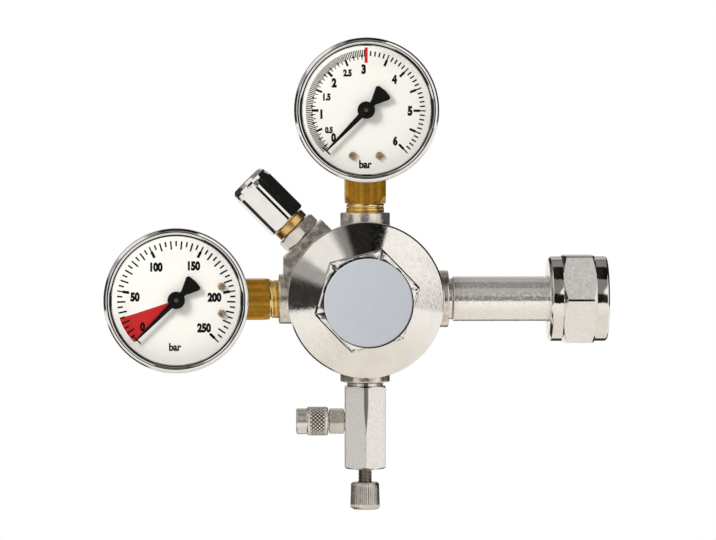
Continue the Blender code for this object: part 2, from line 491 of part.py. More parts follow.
def build_relief_valve():
    """Hexagon base, brass sleeve and long hexagon cap; the poppet is held on its seat by a spring."""
    base_start = RELIEF_END + GAP
    base_end = base_start + RELIEF_HEX
    base = chamfered_hex("relief_base", RELIEF_FLATS, base_start, base_end, "chrome", slanted, RELIEF_TURN,
                          RELIEF_FLATS / 2 - FLAT_TURNED, RELIEF_FLATS / 2 - FLAT_TURNED)
    add(base, plug_shape(RELIEF_THREAD_R, THREAD_START, base_start + CUT, SIDES_SMALL, THREAD_EDGE))
    seat = base_end - RELIEF_SEAT
    bore = [(0, THREAD_START - CUT), (RELIEF_HOLE_R, THREAD_START - CUT), (RELIEF_HOLE_R, seat),
            (RELIEF_SPIGOT_R + GAP, seat), (RELIEF_SPIGOT_R + GAP, base_end + CUT), (0, base_end + CUT)]
    cut(base, lathe(bore, SIDES_SMALL))
    ring_low = base_end + GAP
    ring_high = ring_low + RELIEF_SLEEVE
    top = ring_high + RELIEF_SLEEVE_TOP
    sleeve = [(RELIEF_BORE_R, seat + GAP), (RELIEF_SPIGOT_R, seat + GAP), (RELIEF_SPIGOT_R, ring_low),
              (RELIEF_SLEEVE_R, ring_low), (RELIEF_SLEEVE_R, ring_high), (RELIEF_SPIGOT_R, ring_high),
              (RELIEF_SPIGOT_R, top), (RELIEF_BORE_R, top)]
    piece("relief_sleeve", lathe(sleeve, SIDES_ROUND), "brass", slanted)
    cap_low = ring_high + GAP
    cap_high = cap_low + RELIEF_CAP
    cap = chamfered_hex("relief_cap", RELIEF_FLATS, cap_low, cap_high, "chrome", slanted, RELIEF_TURN,
                        RELIEF_FLATS / 2 - FLAT_TURNED)
    end = cap_high - RELIEF_CAP_TURNED
    turned_r = RELIEF_FLATS / 2
    turned = [(0, cap_low - CUT), (RELIEF_FLATS, cap_low - CUT), (RELIEF_FLATS, end - RELIEF_DOME_START),
              (turned_r, end), (turned_r - FLAT_TURNED, cap_high - RELIEF_DOME_EDGE_LONG),
              (turned_r - RELIEF_DOME_EDGE, cap_high), (0, cap_high)]
    meet(cap, lathe(turned, SIDES_ROUND))
    spring_end = cap_high - RELIEF_SPRING_STOP
    room = [(0, cap_low - CUT), (RELIEF_SPIGOT_R + GAP, cap_low - CUT), (RELIEF_SPIGOT_R + GAP, top + GAP),
            (RELIEF_BORE_R, top + GAP), (RELIEF_BORE_R, spring_end), (RELIEF_VENT_R, spring_end),
            (RELIEF_VENT_R, cap_high + CUT), (0, cap_high + CUT)]
    cut(cap, lathe(room, SIDES_SMALL))
    low = seat + GAP
    step = low + RELIEF_POPPET
    poppet = [(0, low), (RELIEF_POPPET_R, low), (RELIEF_POPPET_R, step), (RELIEF_POPPET_TAIL_R, step),
              (RELIEF_POPPET_TAIL_R, step + RELIEF_POPPET), (0, step + RELIEF_POPPET)]
    piece("relief_poppet", lathe(poppet, SIDES_SMALL), "brass", slanted)
    spring = coil(RELIEF_SPRING_R, RELIEF_SPRING_WIRE_R, RELIEF_SPRING_TURNS, step + GAP, spring_end - GAP)
    piece("relief_spring", spring, "steel", slanted)


def ridged(bm, count, depth, low, high, core):
    """Presses straight ridges into the wall outside a core, between two heights; it has two sides for each ridge."""
    step = math.pi / count
    for vertex in bm.verts:
        x, y, z = vertex.co
        valley = round(math.atan2(y, x) / step) % 2 == 1
        if valley and low < z < high and math.hypot(x, y) > core:
            keep = 1 - depth / math.hypot(x, y)
            vertex.co.x, vertex.co.y = x * keep, y * keep
    return bm


def build_needle_valve():
    """Hexagon block below the body; a spindle with a fine thread closes its orifice, a knurled knob turns it."""
    neck = OUTLET_BOSS_END + GAP
    hex_top = neck + BLOCK_NECK - GAP
    hex_end = hex_top + BLOCK_LENGTH
    block = chamfered_hex("needle_block", BLOCK_FLATS, hex_top, hex_end, "chrome", down, 30,
                          BLOCK_FLATS / 2 - FLAT_TURNED, BLOCK_FLATS / 2 - 2 * FLAT_TURNED)
    add(block, lathe([(0, THREAD_START), (OUTLET_THREAD_R, THREAD_START), (OUTLET_THREAD_R, neck),
                      (BLOCK_NECK_R, neck), (BLOCK_NECK_R, hex_top + CUT), (0, hex_top + CUT)], SIDES_ROUND))
    gland_top = hex_end - GLAND_LENGTH - GAP
    room = [(0, THREAD_START - CUT), (BLOCK_ORIFICE_R, THREAD_START - CUT), (BLOCK_ORIFICE_R, ORIFICE),
            (CHAMBER_BORE_R, ORIFICE + CUT), (CHAMBER_BORE_R, gland_top - GAP), (GLAND_R + GAP, gland_top - GAP),
            (GLAND_R + GAP, hex_end + CUT), (0, hex_end + CUT)]
    cut(block, lathe(room, SIDES_SMALL))
    outlet = frame_at("outlet", (0, 0, -OUTLET_LEVEL), (0, -90, 0), centre)
    flat = BLOCK_FLATS / 2
    thread = flat - ADAPTER_THREAD
    cut(block, plug_shape(ADAPTER_THREAD_R + GAP, thread - GAP, flat + CUT), outlet)
    cut(block, plug_shape(BARB_BORE_R, CHAMBER_BORE_R - CUT, flat, SIDES_TINY), outlet)
    gland = [(SPINDLE_R + RUN, gland_top), (GLAND_R, gland_top), (GLAND_R, hex_end - GAP),
             (SPINDLE_R + RUN, hex_end - GAP)]
    piece("spindle_gland", lathe(gland, SIDES_SMALL), "brass", down)
    needle = ORIFICE + NEEDLE_CLEAR
    shoulder = gland_top + NEEDLE_CLOSING + GAP
    end = KNOB_TOP + KNOB_BORE - GAP
    spindle = [(0, needle), (NEEDLE_TIP_R, needle), (SPINDLE_NECK_R, needle + NEEDLE_LENGTH),
               (SPINDLE_NECK_R, shoulder), (SPINDLE_R, shoulder + SPINDLE_STEP), (SPINDLE_R, end), (0, end)]
    piece("needle_spindle", lathe(spindle, SIDES_SMALL), "chrome", down)
    middle = (SPINDLE_NECK_R + CHAMBER_BORE_R) / 2
    level = gland_top - O_RING_WIRE_R - GAP
    ring = [(middle + O_RING_WIRE_R * math.cos(a), level + O_RING_WIRE_R * math.sin(a))
            for a in (2 * math.pi * i / 6 for i in range(6))]
    piece("spindle_o_ring", lathe(ring, SIDES_SMALL), "rubber", down)
    foot = KNOB_TOP + KNOB_LENGTH
    ridge_top, ridge_foot = KNOB_TOP + KNOB_RIDGE_ROOM, foot - KNOB_RIDGE_ROOM
    knob = [(0, KNOB_TOP), (KNOB_R - KNOB_TOP_EDGE, KNOB_TOP), (KNOB_R, KNOB_TOP + KNOB_TOP_EDGE),
            (KNOB_R, ridge_top), (KNOB_FOOT_R, ridge_foot), (KNOB_FOOT_R, foot - KNOB_FOOT_EDGE),
            (KNOB_FOOT_R - KNOB_FOOT_EDGE, foot), (0, foot)]
    core = SPINDLE_R + RUN
    knob = ridged(lathe(knob, 2 * KNOB_RIDGES), KNOB_RIDGES, KNOB_RIDGE, ridge_top - GAP, ridge_foot + GAP / 3, core)
    knob = piece("needle_knob", knob, "chrome", down)
    cut(knob, plug_shape(core, KNOB_TOP - CUT, KNOB_TOP + KNOB_BORE))
    start = flat + GAP
    hex_out = start + ADAPTER_HEX
    adapter = chamfered_hex("outlet_adapter", ADAPTER_FLATS, start, hex_out, "chrome", outlet, ADAPTER_TURN,
                            ADAPTER_FLATS / 2 - FLAT_TURNED, ADAPTER_FLATS / 2 - FLAT_TURNED)
    thread_end = hex_out + HOSE_NUT_THREAD
    tip = thread_end + BARB_LENGTH
    ridge = tip - BARB_TAPER
    stub = [(0, thread), (ADAPTER_THREAD_R, thread), (ADAPTER_THREAD_R, thread_end), (BARB_R, thread_end),
            (BARB_R, ridge), (BARB_R + BARB_RIDGE, ridge), (BARB_R, tip), (0, tip)]
    add(adapter, lathe(stub, SIDES_SMALL))
    cut(adapter, plug_shape(BARB_BORE_R, thread - CUT, tip + CUT, SIDES_TINY))
    low = hex_out + GAP
    knurl_end = low + HOSE_NUT_KNURL
    nose_end = knurl_end + HOSE_NUT_NOSE
    edge = HOSE_NUT_EDGE
    nut = [(HOSE_NUT_BORE_R, low), (HOSE_NUT_R - edge, low), (HOSE_NUT_R, low + edge), (HOSE_NUT_R, knurl_end - edge),
           (HOSE_NUT_NOSE_R, knurl_end), (HOSE_NUT_NOSE_R, nose_end - edge), (HOSE_NUT_NOSE_R - edge, nose_end),
           (HOSE_HOLE_R, nose_end), (HOSE_HOLE_R, thread_end + 2 * edge), (HOSE_NUT_BORE_R, thread_end + edge)]
    piece("hose_nut", lathe(nut, SIDES_ROUND), "satin_nickel", outlet)


def tooth_points(teeth, first, count, middle=(0, 0)):
    """Points round the given number of straight-sided teeth, counted in degrees anticlockwise from first."""
    pitch_r = MODULE * teeth / 2
    step = 360 / teeth
    points = []
    for i in range(count):
        tooth = first + i * step
        for radius, half in ((pitch_r - MODULE * TOOTH_DOWN, 1.3), (pitch_r + MODULE * TOOTH_UP, 0.7),
                             (pitch_r + MODULE * TOOTH_UP, -0.7), (pitch_r - MODULE * TOOTH_DOWN, -1.3)):
            angle = math.radians(tooth - half * step * TOOTH_SHARE / 2)
            points.append((middle[0] + radius * math.cos(angle), middle[1] + radius * math.sin(angle)))
    return points


def tube_shape(extra=0.0, lengthen=0.0):
    """The bourdon tube: a flat tube bent to a C, from its tip round to its root in the socket."""
    bm = bmesh.new()
    steps = TUBE_STEPS
    span = TUBE_ROOT_ANGLE + lengthen - TUBE_TIP_ANGLE
    thick, wide = TUBE_HALF_THICK + extra, TUBE_HALF_WIDE + extra
    section = [(thick, 0.6 * wide), (0, wide), (-thick, 0.6 * wide), (-thick, -0.6 * wide), (0, -wide),
               (thick, -0.6 * wide)]
    rings = []
    for i in range(steps + 1):
        angle = math.radians(TUBE_TIP_ANGLE + span * i / steps)
        rings.append([bm.verts.new(((TUBE_R + out) * math.cos(angle), (TUBE_R + out) * math.sin(angle),
                                    TUBE_FRONT - TUBE_HALF_WIDE + deep)) for out, deep in section])
    for one, two in zip(rings, rings[1:]):
        for k in range(len(section)):
            n = (k + 1) % len(section)
            bm.faces.new([one[k], one[n], two[n], two[k]])
    bm.faces.new(rings[0][::-1])
    bm.faces.new(rings[-1])
    return bm


def at(bm, x, y):
    """Moves a shape sideways."""
    bmesh.ops.translate(bm, vec=(x, y, 0), verts=bm.verts)
    return bm


def capsule(one, two, radius, sides=12):
    """The outline of a bar with round ends between two points."""
    run = Vector(two) - Vector(one)
    heading = math.atan2(run.y, run.x)
    points = []
    for middle, start in ((two, heading - math.pi / 2), (one, heading + math.pi / 2)):
        for i in range(sides // 2 + 1):
            angle = start + math.pi * i / (sides // 2)
            points.append((middle[0] + radius * math.cos(angle), middle[1] + radius * math.sin(angle)))
    return points


def build_gauge(prefix, carrier, zero):
    """One pressure gauge. Its shank leaves along -Y of the carrier and its face looks along +Z."""
    shank = frame_at(prefix + "shank", turns=(90, 0, 0), parent=carrier)
    side, block = SHANK_SIDE / 2, BLOCK_HALF_DEPTH
    corner = side - SHANK_CORNER
    square = [(side, corner), (corner, side), (-corner, side), (-side, corner), (-side, -corner), (-corner, -side),
              (corner, -side), (side, -corner)]
    face = GAUGE_REACH - SHANK_END
    socket = piece(prefix + "socket", prism(square, CASE_R - 1.5, face), "brass", shank)
    turned = [(0, 0), (SHANK_SIDE, 0), (SHANK_SIDE, face - SHANK_TURNED), (side + GAP / 3, face), (0, face)]
    meet(socket, lathe(turned, SIDES_ROUND))
    add(socket, box((-side, -block, -BLOCK_TOP), (side, block, CASE_R - 1)))
    thread_end = GAUGE_REACH - THREAD_START
    add(socket, plug_shape(GAUGE_THREAD_R, face - CUT, thread_end, SIDES_ROUND, THREAD_EDGE))
    cut(socket, plug_shape(PASSAGE_R, -BLOCK_TOP + 4, thread_end + CUT, SIDES_TINY))
    cut(socket, tube_shape(GAP, 2.0), carrier)

    rear = CASE_REAR
    case = [(0, rear), (CASE_R - CASE_EDGE, rear), (CASE_R, rear + CASE_EDGE), (CASE_R, CASE_FRONT),
            (CASE_R - CASE_WALL, CASE_FRONT), (CASE_R - CASE_WALL, rear + CASE_BEND),
            (CASE_R - CASE_BEND, rear + CASE_WALL), (0, rear + CASE_WALL)]
    case = piece(prefix + "case", lathe(case, SIDES_FINE), "chrome", carrier)
    room = side + GAP
    cut(case, box((-room, -CASE_R - CUT, -room), (room, -CASE_R + CASE_CUT, room)))

    inner = CASE_R + GAP
    bezel = [(inner, BEZEL_START), (BEZEL_R, BEZEL_START), (BEZEL_R, BEZEL_FRONT - BEZEL_EDGE_HIGH),
             (BEZEL_R - BEZEL_EDGE, BEZEL_FRONT), (BEZEL_HOLE_R + BEZEL_LIP, BEZEL_FRONT),
             (BEZEL_HOLE_R, BEZEL_FRONT - BEZEL_LIP_HIGH), (BEZEL_HOLE_R, WINDOW_FRONT + GAP),
             (inner, WINDOW_FRONT + GAP)]
    piece(prefix + "bezel", lathe(bezel, SIDES_FINE), "chrome", carrier)
    piece(prefix + "window", plug_shape(CASE_R - WINDOW_PLAY, CASE_LIP, WINDOW_FRONT, SIDES_FINE), "clear", carrier)

    dial_low = FRONT_PLATE + METAL + GAP
    dial_high = dial_low + DIAL_THICK
    dial = piece(prefix + "dial", plug_shape(DIAL_R, dial_low, dial_high, SIDES_FINE), "dial_white", carrier)
    cut(dial, plug_shape(SHAFT_R + DIAL_HOLE, 0, CASE_R))
    for name, x in (("left", -SCREW_SPREAD), ("right", SCREW_SPREAD)):
        cut(dial, plug_shape(SCREW_SHANK_R + GAP, 0, CASE_R, SIDES_TINY), location=(x, -SCREW_DOWN, 0))
        low = dial_high + GAP
        shape = [(0, FRONT_PLATE), (SCREW_SHANK_R, FRONT_PLATE), (SCREW_SHANK_R, low), (SCREW_HEAD_R, low),
                 (SCREW_HEAD_R, low + SCREW_HEAD - SCREW_HEAD_EDGE),
                 (SCREW_HEAD_R - SCREW_HEAD_EDGE, low + SCREW_HEAD), (0, low + SCREW_HEAD)]
        screw = piece(prefix + "dial_screw_" + name, lathe(shape, SIDES_SMALL), "brass", carrier, (x, -SCREW_DOWN, 0))
        slot = box((-SCREW_HEAD_R - CUT, -SLOT_WIDE / 2, low + SCREW_HEAD - SLOT_DEEP),
                   (SCREW_HEAD_R + CUT, SLOT_WIDE / 2, low + SCREW_HEAD + CUT))
        cut(screw, slot, location=(x, -SCREW_DOWN, 0))

    level = dial_high + NEEDLE_LIFT
    spread = math.radians(TAIL_SPREAD)
    fan = [(-TAIL_LONG * math.cos(spread * i / 2), -TAIL_LONG * math.sin(spread * i / 2)) for i in range(-2, 3)]
    needle = [(0, -NEEDLE_ROOT / 2), (NEEDLE_LONG, -NEEDLE_TIP / 2), (NEEDLE_LONG, NEEDLE_TIP / 2),
              (0, NEEDLE_ROOT / 2)] + fan
    pointer = piece(prefix + "pointer", prism(needle, level, level + NEEDLE_THICK), "pointer_black", carrier)
    pointer.rotation_euler.z = math.radians(zero)
    hub_low, hub_high = level - HUB_BELOW, level + HUB_HEIGHT
    add(pointer, lathe([(0, hub_low), (HUB_R, hub_low), (HUB_R, hub_high - HUB_EDGE), (HUB_R - HUB_EDGE, hub_high),
                        (0, hub_high)], SIDES_ROUND))
    cut(pointer, plug_shape(SHAFT_R + GAP, level - CUT, level + HUB_HEIGHT + CUT))

    axis_r = MODULE * (PINION_TEETH + SECTOR_TEETH) / 2
    axis = Vector((SECTOR_AXIS_X, -math.sqrt(axis_r ** 2 - SECTOR_AXIS_X ** 2)))
    mesh_angle = math.degrees(math.atan2(-axis.y, -axis.x))
    gear_low, gear_high = SECTOR_LEVEL, SECTOR_LEVEL + SECTOR_THICK
    teeth = tooth_points(PINION_TEETH, mesh_angle + 180 + 180 / PINION_TEETH, PINION_TEETH)
    pinion = piece(prefix + "pinion", prism(teeth, gear_low - PINION_PROUD, gear_high + PINION_PROUD), "brass", carrier)
    add(pinion, plug_shape(SHAFT_R, BACK_PLATE - PINION_PROUD, level + HUB_HEIGHT, SIDES_TINY))

    sector_frame = frame_at(prefix + "sector_axis", (axis.x, axis.y, 0), parent=carrier)
    pitch = 360 / SECTOR_TEETH
    fan = [(0, 0)] + tooth_points(SECTOR_TEETH, mesh_angle - SECTOR_BEFORE * pitch, SECTOR_SHOWN)
    sector = piece(prefix + "sector", prism(fan, gear_low, gear_high), "brass", sector_frame)
    tail = Vector((math.cos(math.radians(TAIL_ANGLE)), math.sin(math.radians(TAIL_ANGLE)))) * TAIL_ARM
    add(sector, prism(capsule((0, 0), tuple(tail), TAIL_HALF_WIDE), gear_low, gear_high))
    add(sector, plug_shape(SHAFT_R, BACK_PLATE + PINION_PROUD, FRONT_PLATE + METAL - PINION_PROUD, SIDES_TINY))
    add(sector, at(plug_shape(PIN_R, LINK_LEVEL - PINION_PROUD, gear_low + METAL / 2, SIDES_TINY), *tail))

    tube = piece(prefix + "bourdon_tube", tube_shape(), "brass", carrier)
    tip_angle = math.radians(TUBE_TIP_ANGLE + TUBE_TIP_INSET)
    tip = Vector((math.cos(tip_angle), math.sin(tip_angle))) * TUBE_R
    add(tube, at(plug_shape(PIN_R, TUBE_FRONT - METAL, LINK_LEVEL + METAL, SIDES_TINY), *tip))
    joint = axis + tail
    link = piece(prefix + "link", prism(capsule((0, 0), tuple(tip - joint), LINK_HALF_WIDE), LINK_LEVEL,
                                        LINK_LEVEL + LINK_THICK), "brass", carrier, (joint.x, joint.y, 0))
    for place in (joint, tip):
        cut(link, plug_shape(PIN_R + GAP, 0, CASE_R, SIDES_TINY), carrier, (place.x, place.y, 0))

    wide, top = PLATE_WIDE, PLATE_TOP
    foot, narrow = -SCREW_DOWN - PLATE_FOOT, wide - PLATE_TAPER
    plate = [(-narrow, foot), (narrow, foot), (wide, BLOCK_TOP), (wide, top), (-wide, top), (-wide, BLOCK_TOP)]
    movement = piece(prefix + "movement", prism(plate, FRONT_PLATE, FRONT_PLATE + METAL), "brass", carrier)
    edge = BLOCK_TOP + 2 * GAP
    lower = [(-wide, edge), (wide, edge), (wide, top), (-wide, top)]
    add(movement, prism(lower, BACK_PLATE, BACK_PLATE + METAL))
    for x, y in ((PILLAR_X, PILLAR_Y), (-PILLAR_X, PILLAR_Y), (LOW_PILLAR_X, LOW_PILLAR_Y)):
        add(movement, at(plug_shape(PILLAR_R, BACK_PLATE + METAL / 2, FRONT_PLATE + METAL / 2, SIDES_TINY), x, y))
    holes = [(0, 0, SHAFT_R), (axis.x, axis.y, SHAFT_R), (-SCREW_SPREAD, -SCREW_DOWN, SCREW_SHANK_R),
             (SCREW_SPREAD, -SCREW_DOWN, SCREW_SHANK_R)]
    for x, y, radius in holes:
        cut(movement, at(plug_shape(radius + GAP, 0, FRONT_PLATE + METAL + CUT, SIDES_TINY), x, y))


build_body()
build_bonnet()
build_regulating_parts()
build_inlet()
build_relief_valve()
build_needle_valve()
build_gauge("low_", frame_at("low_gauge", (0, 0, GAUGE_REACH), (90, 0, 0), centre), ZERO_TOP)
build_gauge("high_", frame_at("high_gauge", (-GAUGE_REACH, 0, 0), (90, -90, 0), centre), ZERO_LEFT - 90)
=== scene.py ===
# %% [markdown]
# A bottle regulator for carbon dioxide, dressed for its picture
#
# The working model is already made: solids for every piece, with their joints. This notebook gives them their looks.
# We start by loading those solids as a fixed frame, and by noting the box that they fill, because the finer pieces
# that we lay over them may not make the regulator any bigger.

# %% Load the solid model
import json
import math

import bmesh
import bpy
from mathutils import Matrix, Vector

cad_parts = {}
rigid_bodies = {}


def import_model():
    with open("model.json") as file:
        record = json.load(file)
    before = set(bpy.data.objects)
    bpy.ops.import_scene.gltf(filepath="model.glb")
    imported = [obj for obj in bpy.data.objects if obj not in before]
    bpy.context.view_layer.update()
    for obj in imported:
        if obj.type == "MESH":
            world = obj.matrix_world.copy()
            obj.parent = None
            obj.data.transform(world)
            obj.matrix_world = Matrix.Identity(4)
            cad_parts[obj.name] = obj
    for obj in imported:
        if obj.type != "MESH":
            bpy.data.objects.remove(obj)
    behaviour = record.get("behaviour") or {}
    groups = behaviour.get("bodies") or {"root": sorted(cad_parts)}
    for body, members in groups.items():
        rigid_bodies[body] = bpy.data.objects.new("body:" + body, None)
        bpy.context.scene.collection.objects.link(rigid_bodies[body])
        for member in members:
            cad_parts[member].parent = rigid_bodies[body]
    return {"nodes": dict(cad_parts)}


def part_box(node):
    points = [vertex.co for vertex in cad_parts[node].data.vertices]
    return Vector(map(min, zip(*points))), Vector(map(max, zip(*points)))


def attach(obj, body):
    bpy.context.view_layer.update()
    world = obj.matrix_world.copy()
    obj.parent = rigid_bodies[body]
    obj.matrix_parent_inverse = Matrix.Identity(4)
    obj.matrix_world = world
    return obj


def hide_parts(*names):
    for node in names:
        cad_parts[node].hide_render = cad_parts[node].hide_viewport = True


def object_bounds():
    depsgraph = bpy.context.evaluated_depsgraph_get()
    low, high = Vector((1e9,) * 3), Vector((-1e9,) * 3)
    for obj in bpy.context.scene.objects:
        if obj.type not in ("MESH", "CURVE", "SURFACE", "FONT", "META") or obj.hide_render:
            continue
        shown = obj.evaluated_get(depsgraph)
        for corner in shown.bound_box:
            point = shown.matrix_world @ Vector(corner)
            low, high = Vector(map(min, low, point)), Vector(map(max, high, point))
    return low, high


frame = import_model()
solid_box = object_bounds()
print("solids:", len(frame["nodes"]), "box in mm:", [[round(1000 * c, 1) for c in corner] for corner in solid_box])

# %% [markdown]
# Everything on a regulator is turned or milled about the axis of a port, so each piece is easiest to draw about its
# own Z axis, in millimetres, and then laid along its port. An axis here is a matrix that does both: it turns local Z
# to the port's direction and scales millimetres to metres. The crossing of the ports is read from the solids.

# %% Axes of the ports
MM = 0.001


def middle(node):
    """The middle of a solid's box."""
    low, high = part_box(node)
    return (Vector(low) + Vector(high)) / 2


CENTRE = Vector((middle("low_dial").x, 0, middle("high_dial").z))


def axis_at(place, *turns):
    """A matrix at a place, turned in degrees about its own named axes one after the other."""
    axis = Matrix.Translation(place)
    for about, degrees in turns:
        axis = axis @ Matrix.Rotation(math.radians(degrees), 4, about)
    return axis


FRONT = axis_at(CENTRE, ("X", 90))
UP = axis_at(CENTRE)
DOWN = axis_at(CENTRE, ("Y", 180))
RIGHT = axis_at(CENTRE, ("Y", 90))
LEFT = axis_at(CENTRE, ("Y", -90))
SLANTED = axis_at(CENTRE, ("Y", -45))
OUTLET = axis_at(Vector((CENTRE.x, 0, middle("hose_nut").z)), ("Y", -90))
LOW_GAUGE = axis_at(Vector((CENTRE.x, 0, middle("low_dial").z)), ("X", 90))
HIGH_GAUGE = axis_at(Vector((middle("high_dial").x, 0, CENTRE.z)), ("X", 90))
reach = 1000 * (middle("low_dial").z - CENTRE.z)
print("gauges stand", round(reach, 1), "mm from the crossing of the ports")

# %% [markdown]
# The photograph was taken from a little to the left of the bonnet and a little above it, with some perspective: the
# left gauge shows a sliver of its right flank. The camera aims at the point that lies in the middle of the picture,
# and its lens is worked out from the scale at the bonnet's rim.

# %% The camera
PIXELS_WIDE, PIXELS_HIGH = 716, 540
RIM_X, RIM_Y = 366.3, 300.2
PIXELS_PER_MM = 2.9
RIM_DEPTH = 11.0 * MM
DISTANCE = 1.5
TO_THE_LEFT, ABOVE = 2.2, 2.4

rim = CENTRE + Vector((0, -RIM_DEPTH, 0))
aim = rim + Vector((PIXELS_WIDE / 2 - RIM_X, 0, RIM_Y - PIXELS_HIGH / 2)) * MM / PIXELS_PER_MM
side, lift = math.radians(TO_THE_LEFT), math.radians(ABOVE)
stand = rim + DISTANCE * Vector((-math.sin(side) * math.cos(lift), -math.cos(side) * math.cos(lift), math.sin(lift)))
camera = bpy.data.objects.new("camera", bpy.data.cameras.new("camera"))
bpy.context.collection.objects.link(camera)
camera.location = stand
camera.rotation_euler = (aim - stand).to_track_quat("-Z", "Y").to_euler()
camera.data.sensor_width = 36.0
camera.data.lens = 36.0 * PIXELS_PER_MM * (DISTANCE / MM) / PIXELS_WIDE
camera.data.clip_start = 0.1
bpy.context.scene.camera = camera
print("lens", round(camera.data.lens, 1), "mm")

# %% [markdown]
# Plated metal has hardly any colour of its own: it shows the room. So the studio matters more than the paint. In the
# photograph everything that faces down mirrors a white table, the upper front is a dark room, and two white screens
# stand at the upper left and at the right. That room is drawn on the world by direction, for mirror rays alone.
# The eye of the camera gets plain white, and soft light comes from all sides.

# %% The studio
scene = bpy.context.scene
scene.view_settings.view_transform = "Standard"
world = bpy.data.worlds.new("studio")
scene.world = world
world.use_nodes = True


class Wires:
    """A short way to add shader nodes and to join them."""

    def __init__(self, tree):
        self.tree = tree

    def add(self, kind, **settings):
        node = self.tree.nodes.new(kind)
        for key, value in settings.items():
            setattr(node, key, value)
        return node

    def feed(self, socket, value):
        if isinstance(value, bpy.types.NodeSocket):
            self.tree.links.new(value, socket)
        else:
            socket.default_value = value

    def math(self, operation, *values, clamp=False):
        node = self.add("ShaderNodeMath", operation=operation, use_clamp=clamp)
        for socket, value in zip(node.inputs, values):
            self.feed(socket, value)
        return node.outputs[0]

    def ramp(self, value, low, high, start=0.0, end=1.0):
        """A smooth step from start to end as value goes from low to high."""
        node = self.add("ShaderNodeMapRange", interpolation_type="SMOOTHSTEP")
        for socket, number in zip(node.inputs, (value, low, high, start, end)):
            self.feed(socket, number)
        return node.outputs[0]

    def mix(self, share, one, two):
        node = self.add("ShaderNodeMix", data_type="RGBA")
        self.feed(node.inputs["Factor"], share)
        self.feed(node.inputs["A"], one)
        self.feed(node.inputs["B"], two)
        return node.outputs["Result"]


def band(wires, angle, low, high, soft):
    """1 between two angles and 0 outside, with soft ends."""
    rise = wires.ramp(angle, low - soft, low + soft)
    return wires.math("MULTIPLY", rise, wires.ramp(angle, high - soft, high + soft, 1.0, 0.0))


wires = Wires(world.node_tree)
wires.tree.nodes.clear()
direction = wires.add("ShaderNodeSeparateXYZ")
wires.feed(direction.inputs[0], wires.add("ShaderNodeTexCoord").outputs["Generated"])
x, y, z = direction.outputs
bearing = wires.math("DEGREES", wires.math("ARCTAN2", z, x))
sideways = wires.math("SQRT", wires.math("ADD", wires.math("MULTIPLY", x, x), wires.math("MULTIPLY", z, z)))
off_front = wires.math("DEGREES", wires.math("ARCTAN2", sideways, wires.math("MULTIPLY", y, -1.0)))

# Each patch of the room: its brightness, its bearings, its angles off the front, and how soft both ends are.
ALL_ROUND = (-200, 200)
PATCHES = [
    (0.26, (102, 114), 4, (14, 128), 3),
    (0.07, (90, 104), 4, (14, 98), 3),
    (0.23, (60, 100), 2, (14, 61), 2),
    (0.25, (60, 100), 3, (99, 136), 3),
    (0.88, (116, 148), 5, (14, 96), 3),
    (0.38, (148, 163), 4, (14, 128), 3),
    (0.035, (164, 200), 4, (14, 128), 3),
    (0.035, (-200, -164), 3, (14, 128), 3),
    (0.8, (156, 200), 3, (24, 58), 3),
    (0.8, (-200, -164), 3, (24, 58), 3),
    (0.006, (70, 90), 1.0, (56, 98), 2),
    (0.015, (84, 105), 3, (58, 98), 2),
    (0.98, (-14, 71), 1.2, (17, 74), 2),
    (0.012, (-14, 71), 1.2, (75, 130), 1.5),
    (0.03, ALL_ROUND, 1, (130, 190), 4),
    (0.5, (58, 122), 5, (134, 168), 4),
    (0.008, ALL_ROUND, 1, (-10, 16), 2),
    (0.9, ALL_ROUND, 1, (169, 200), 3),
]
WARM = (1.0, 0.97, 0.93)
room = (0.15, 0.144, 0.136, 1)
for bright, bearings, soft, angles, soft_off in PATCHES:
    share = wires.math("MULTIPLY", band(wires, bearing, *bearings, soft), band(wires, off_front, *angles, soft_off))
    room = wires.mix(share, room, tuple(bright * c for c in WARM) + (1,))
table = wires.mix(wires.ramp(z, -0.95, -0.35), (0.8, 0.76, 0.68, 1), (0.93, 0.905, 0.86, 1))
shade = wires.math("MULTIPLY", band(wires, bearing, -158, -112, 3), band(wires, off_front, 75, 140, 1.5))
edge_on = wires.math("MULTIPLY", band(wires, off_front, 136, 167, 4), band(wires, bearing, -112, -20, 3))
table = wires.mix(wires.math("ADD", shade, edge_on, clamp=True), table, (0.03, 0.028, 0.025, 1))
room = wires.mix(wires.ramp(z, -0.2, -0.15, 1.0, 0.0), room, table)
path = wires.add("ShaderNodeLightPath")
mirrored = wires.add("ShaderNodeBackground")
wires.feed(mirrored.inputs["Color"], room)
mirrored.inputs["Strength"].default_value = 1.0
soft = wires.add("ShaderNodeBackground")
soft.inputs["Color"].default_value = (1.0, 0.985, 0.96, 1)
soft.inputs["Strength"].default_value = 0.62
plain = wires.add("ShaderNodeBackground")
plain.inputs["Color"].default_value = (1, 1, 1, 1)
light = wires.add("ShaderNodeMixShader")
wires.feed(light.inputs[0], path.outputs["Is Glossy Ray"])
wires.feed(light.inputs[1], soft.outputs[0])
wires.feed(light.inputs[2], mirrored.outputs[0])
seen = wires.add("ShaderNodeMixShader")
straight = wires.math("MAXIMUM", path.outputs["Is Camera Ray"], path.outputs["Is Transmission Ray"])
wires.feed(seen.inputs[0], straight)
wires.feed(seen.inputs[1], light.outputs[0])
wires.feed(seen.inputs[2], plain.outputs[0])
wires.feed(wires.add("ShaderNodeOutputWorld").inputs[0], seen.outputs[0])

key = bpy.data.objects.new("key_light", bpy.data.lights.new("key_light", "AREA"))
bpy.context.collection.objects.link(key)
key.location = CENTRE + Vector((-0.5, -0.42, 0.42))
key.rotation_euler = (CENTRE - key.location).to_track_quat("-Z", "Y").to_euler()
key.data.size = 0.3
key.data.energy = 5.6
key.visible_glossy = False


print("the studio has", len(wires.tree.nodes), "nodes")

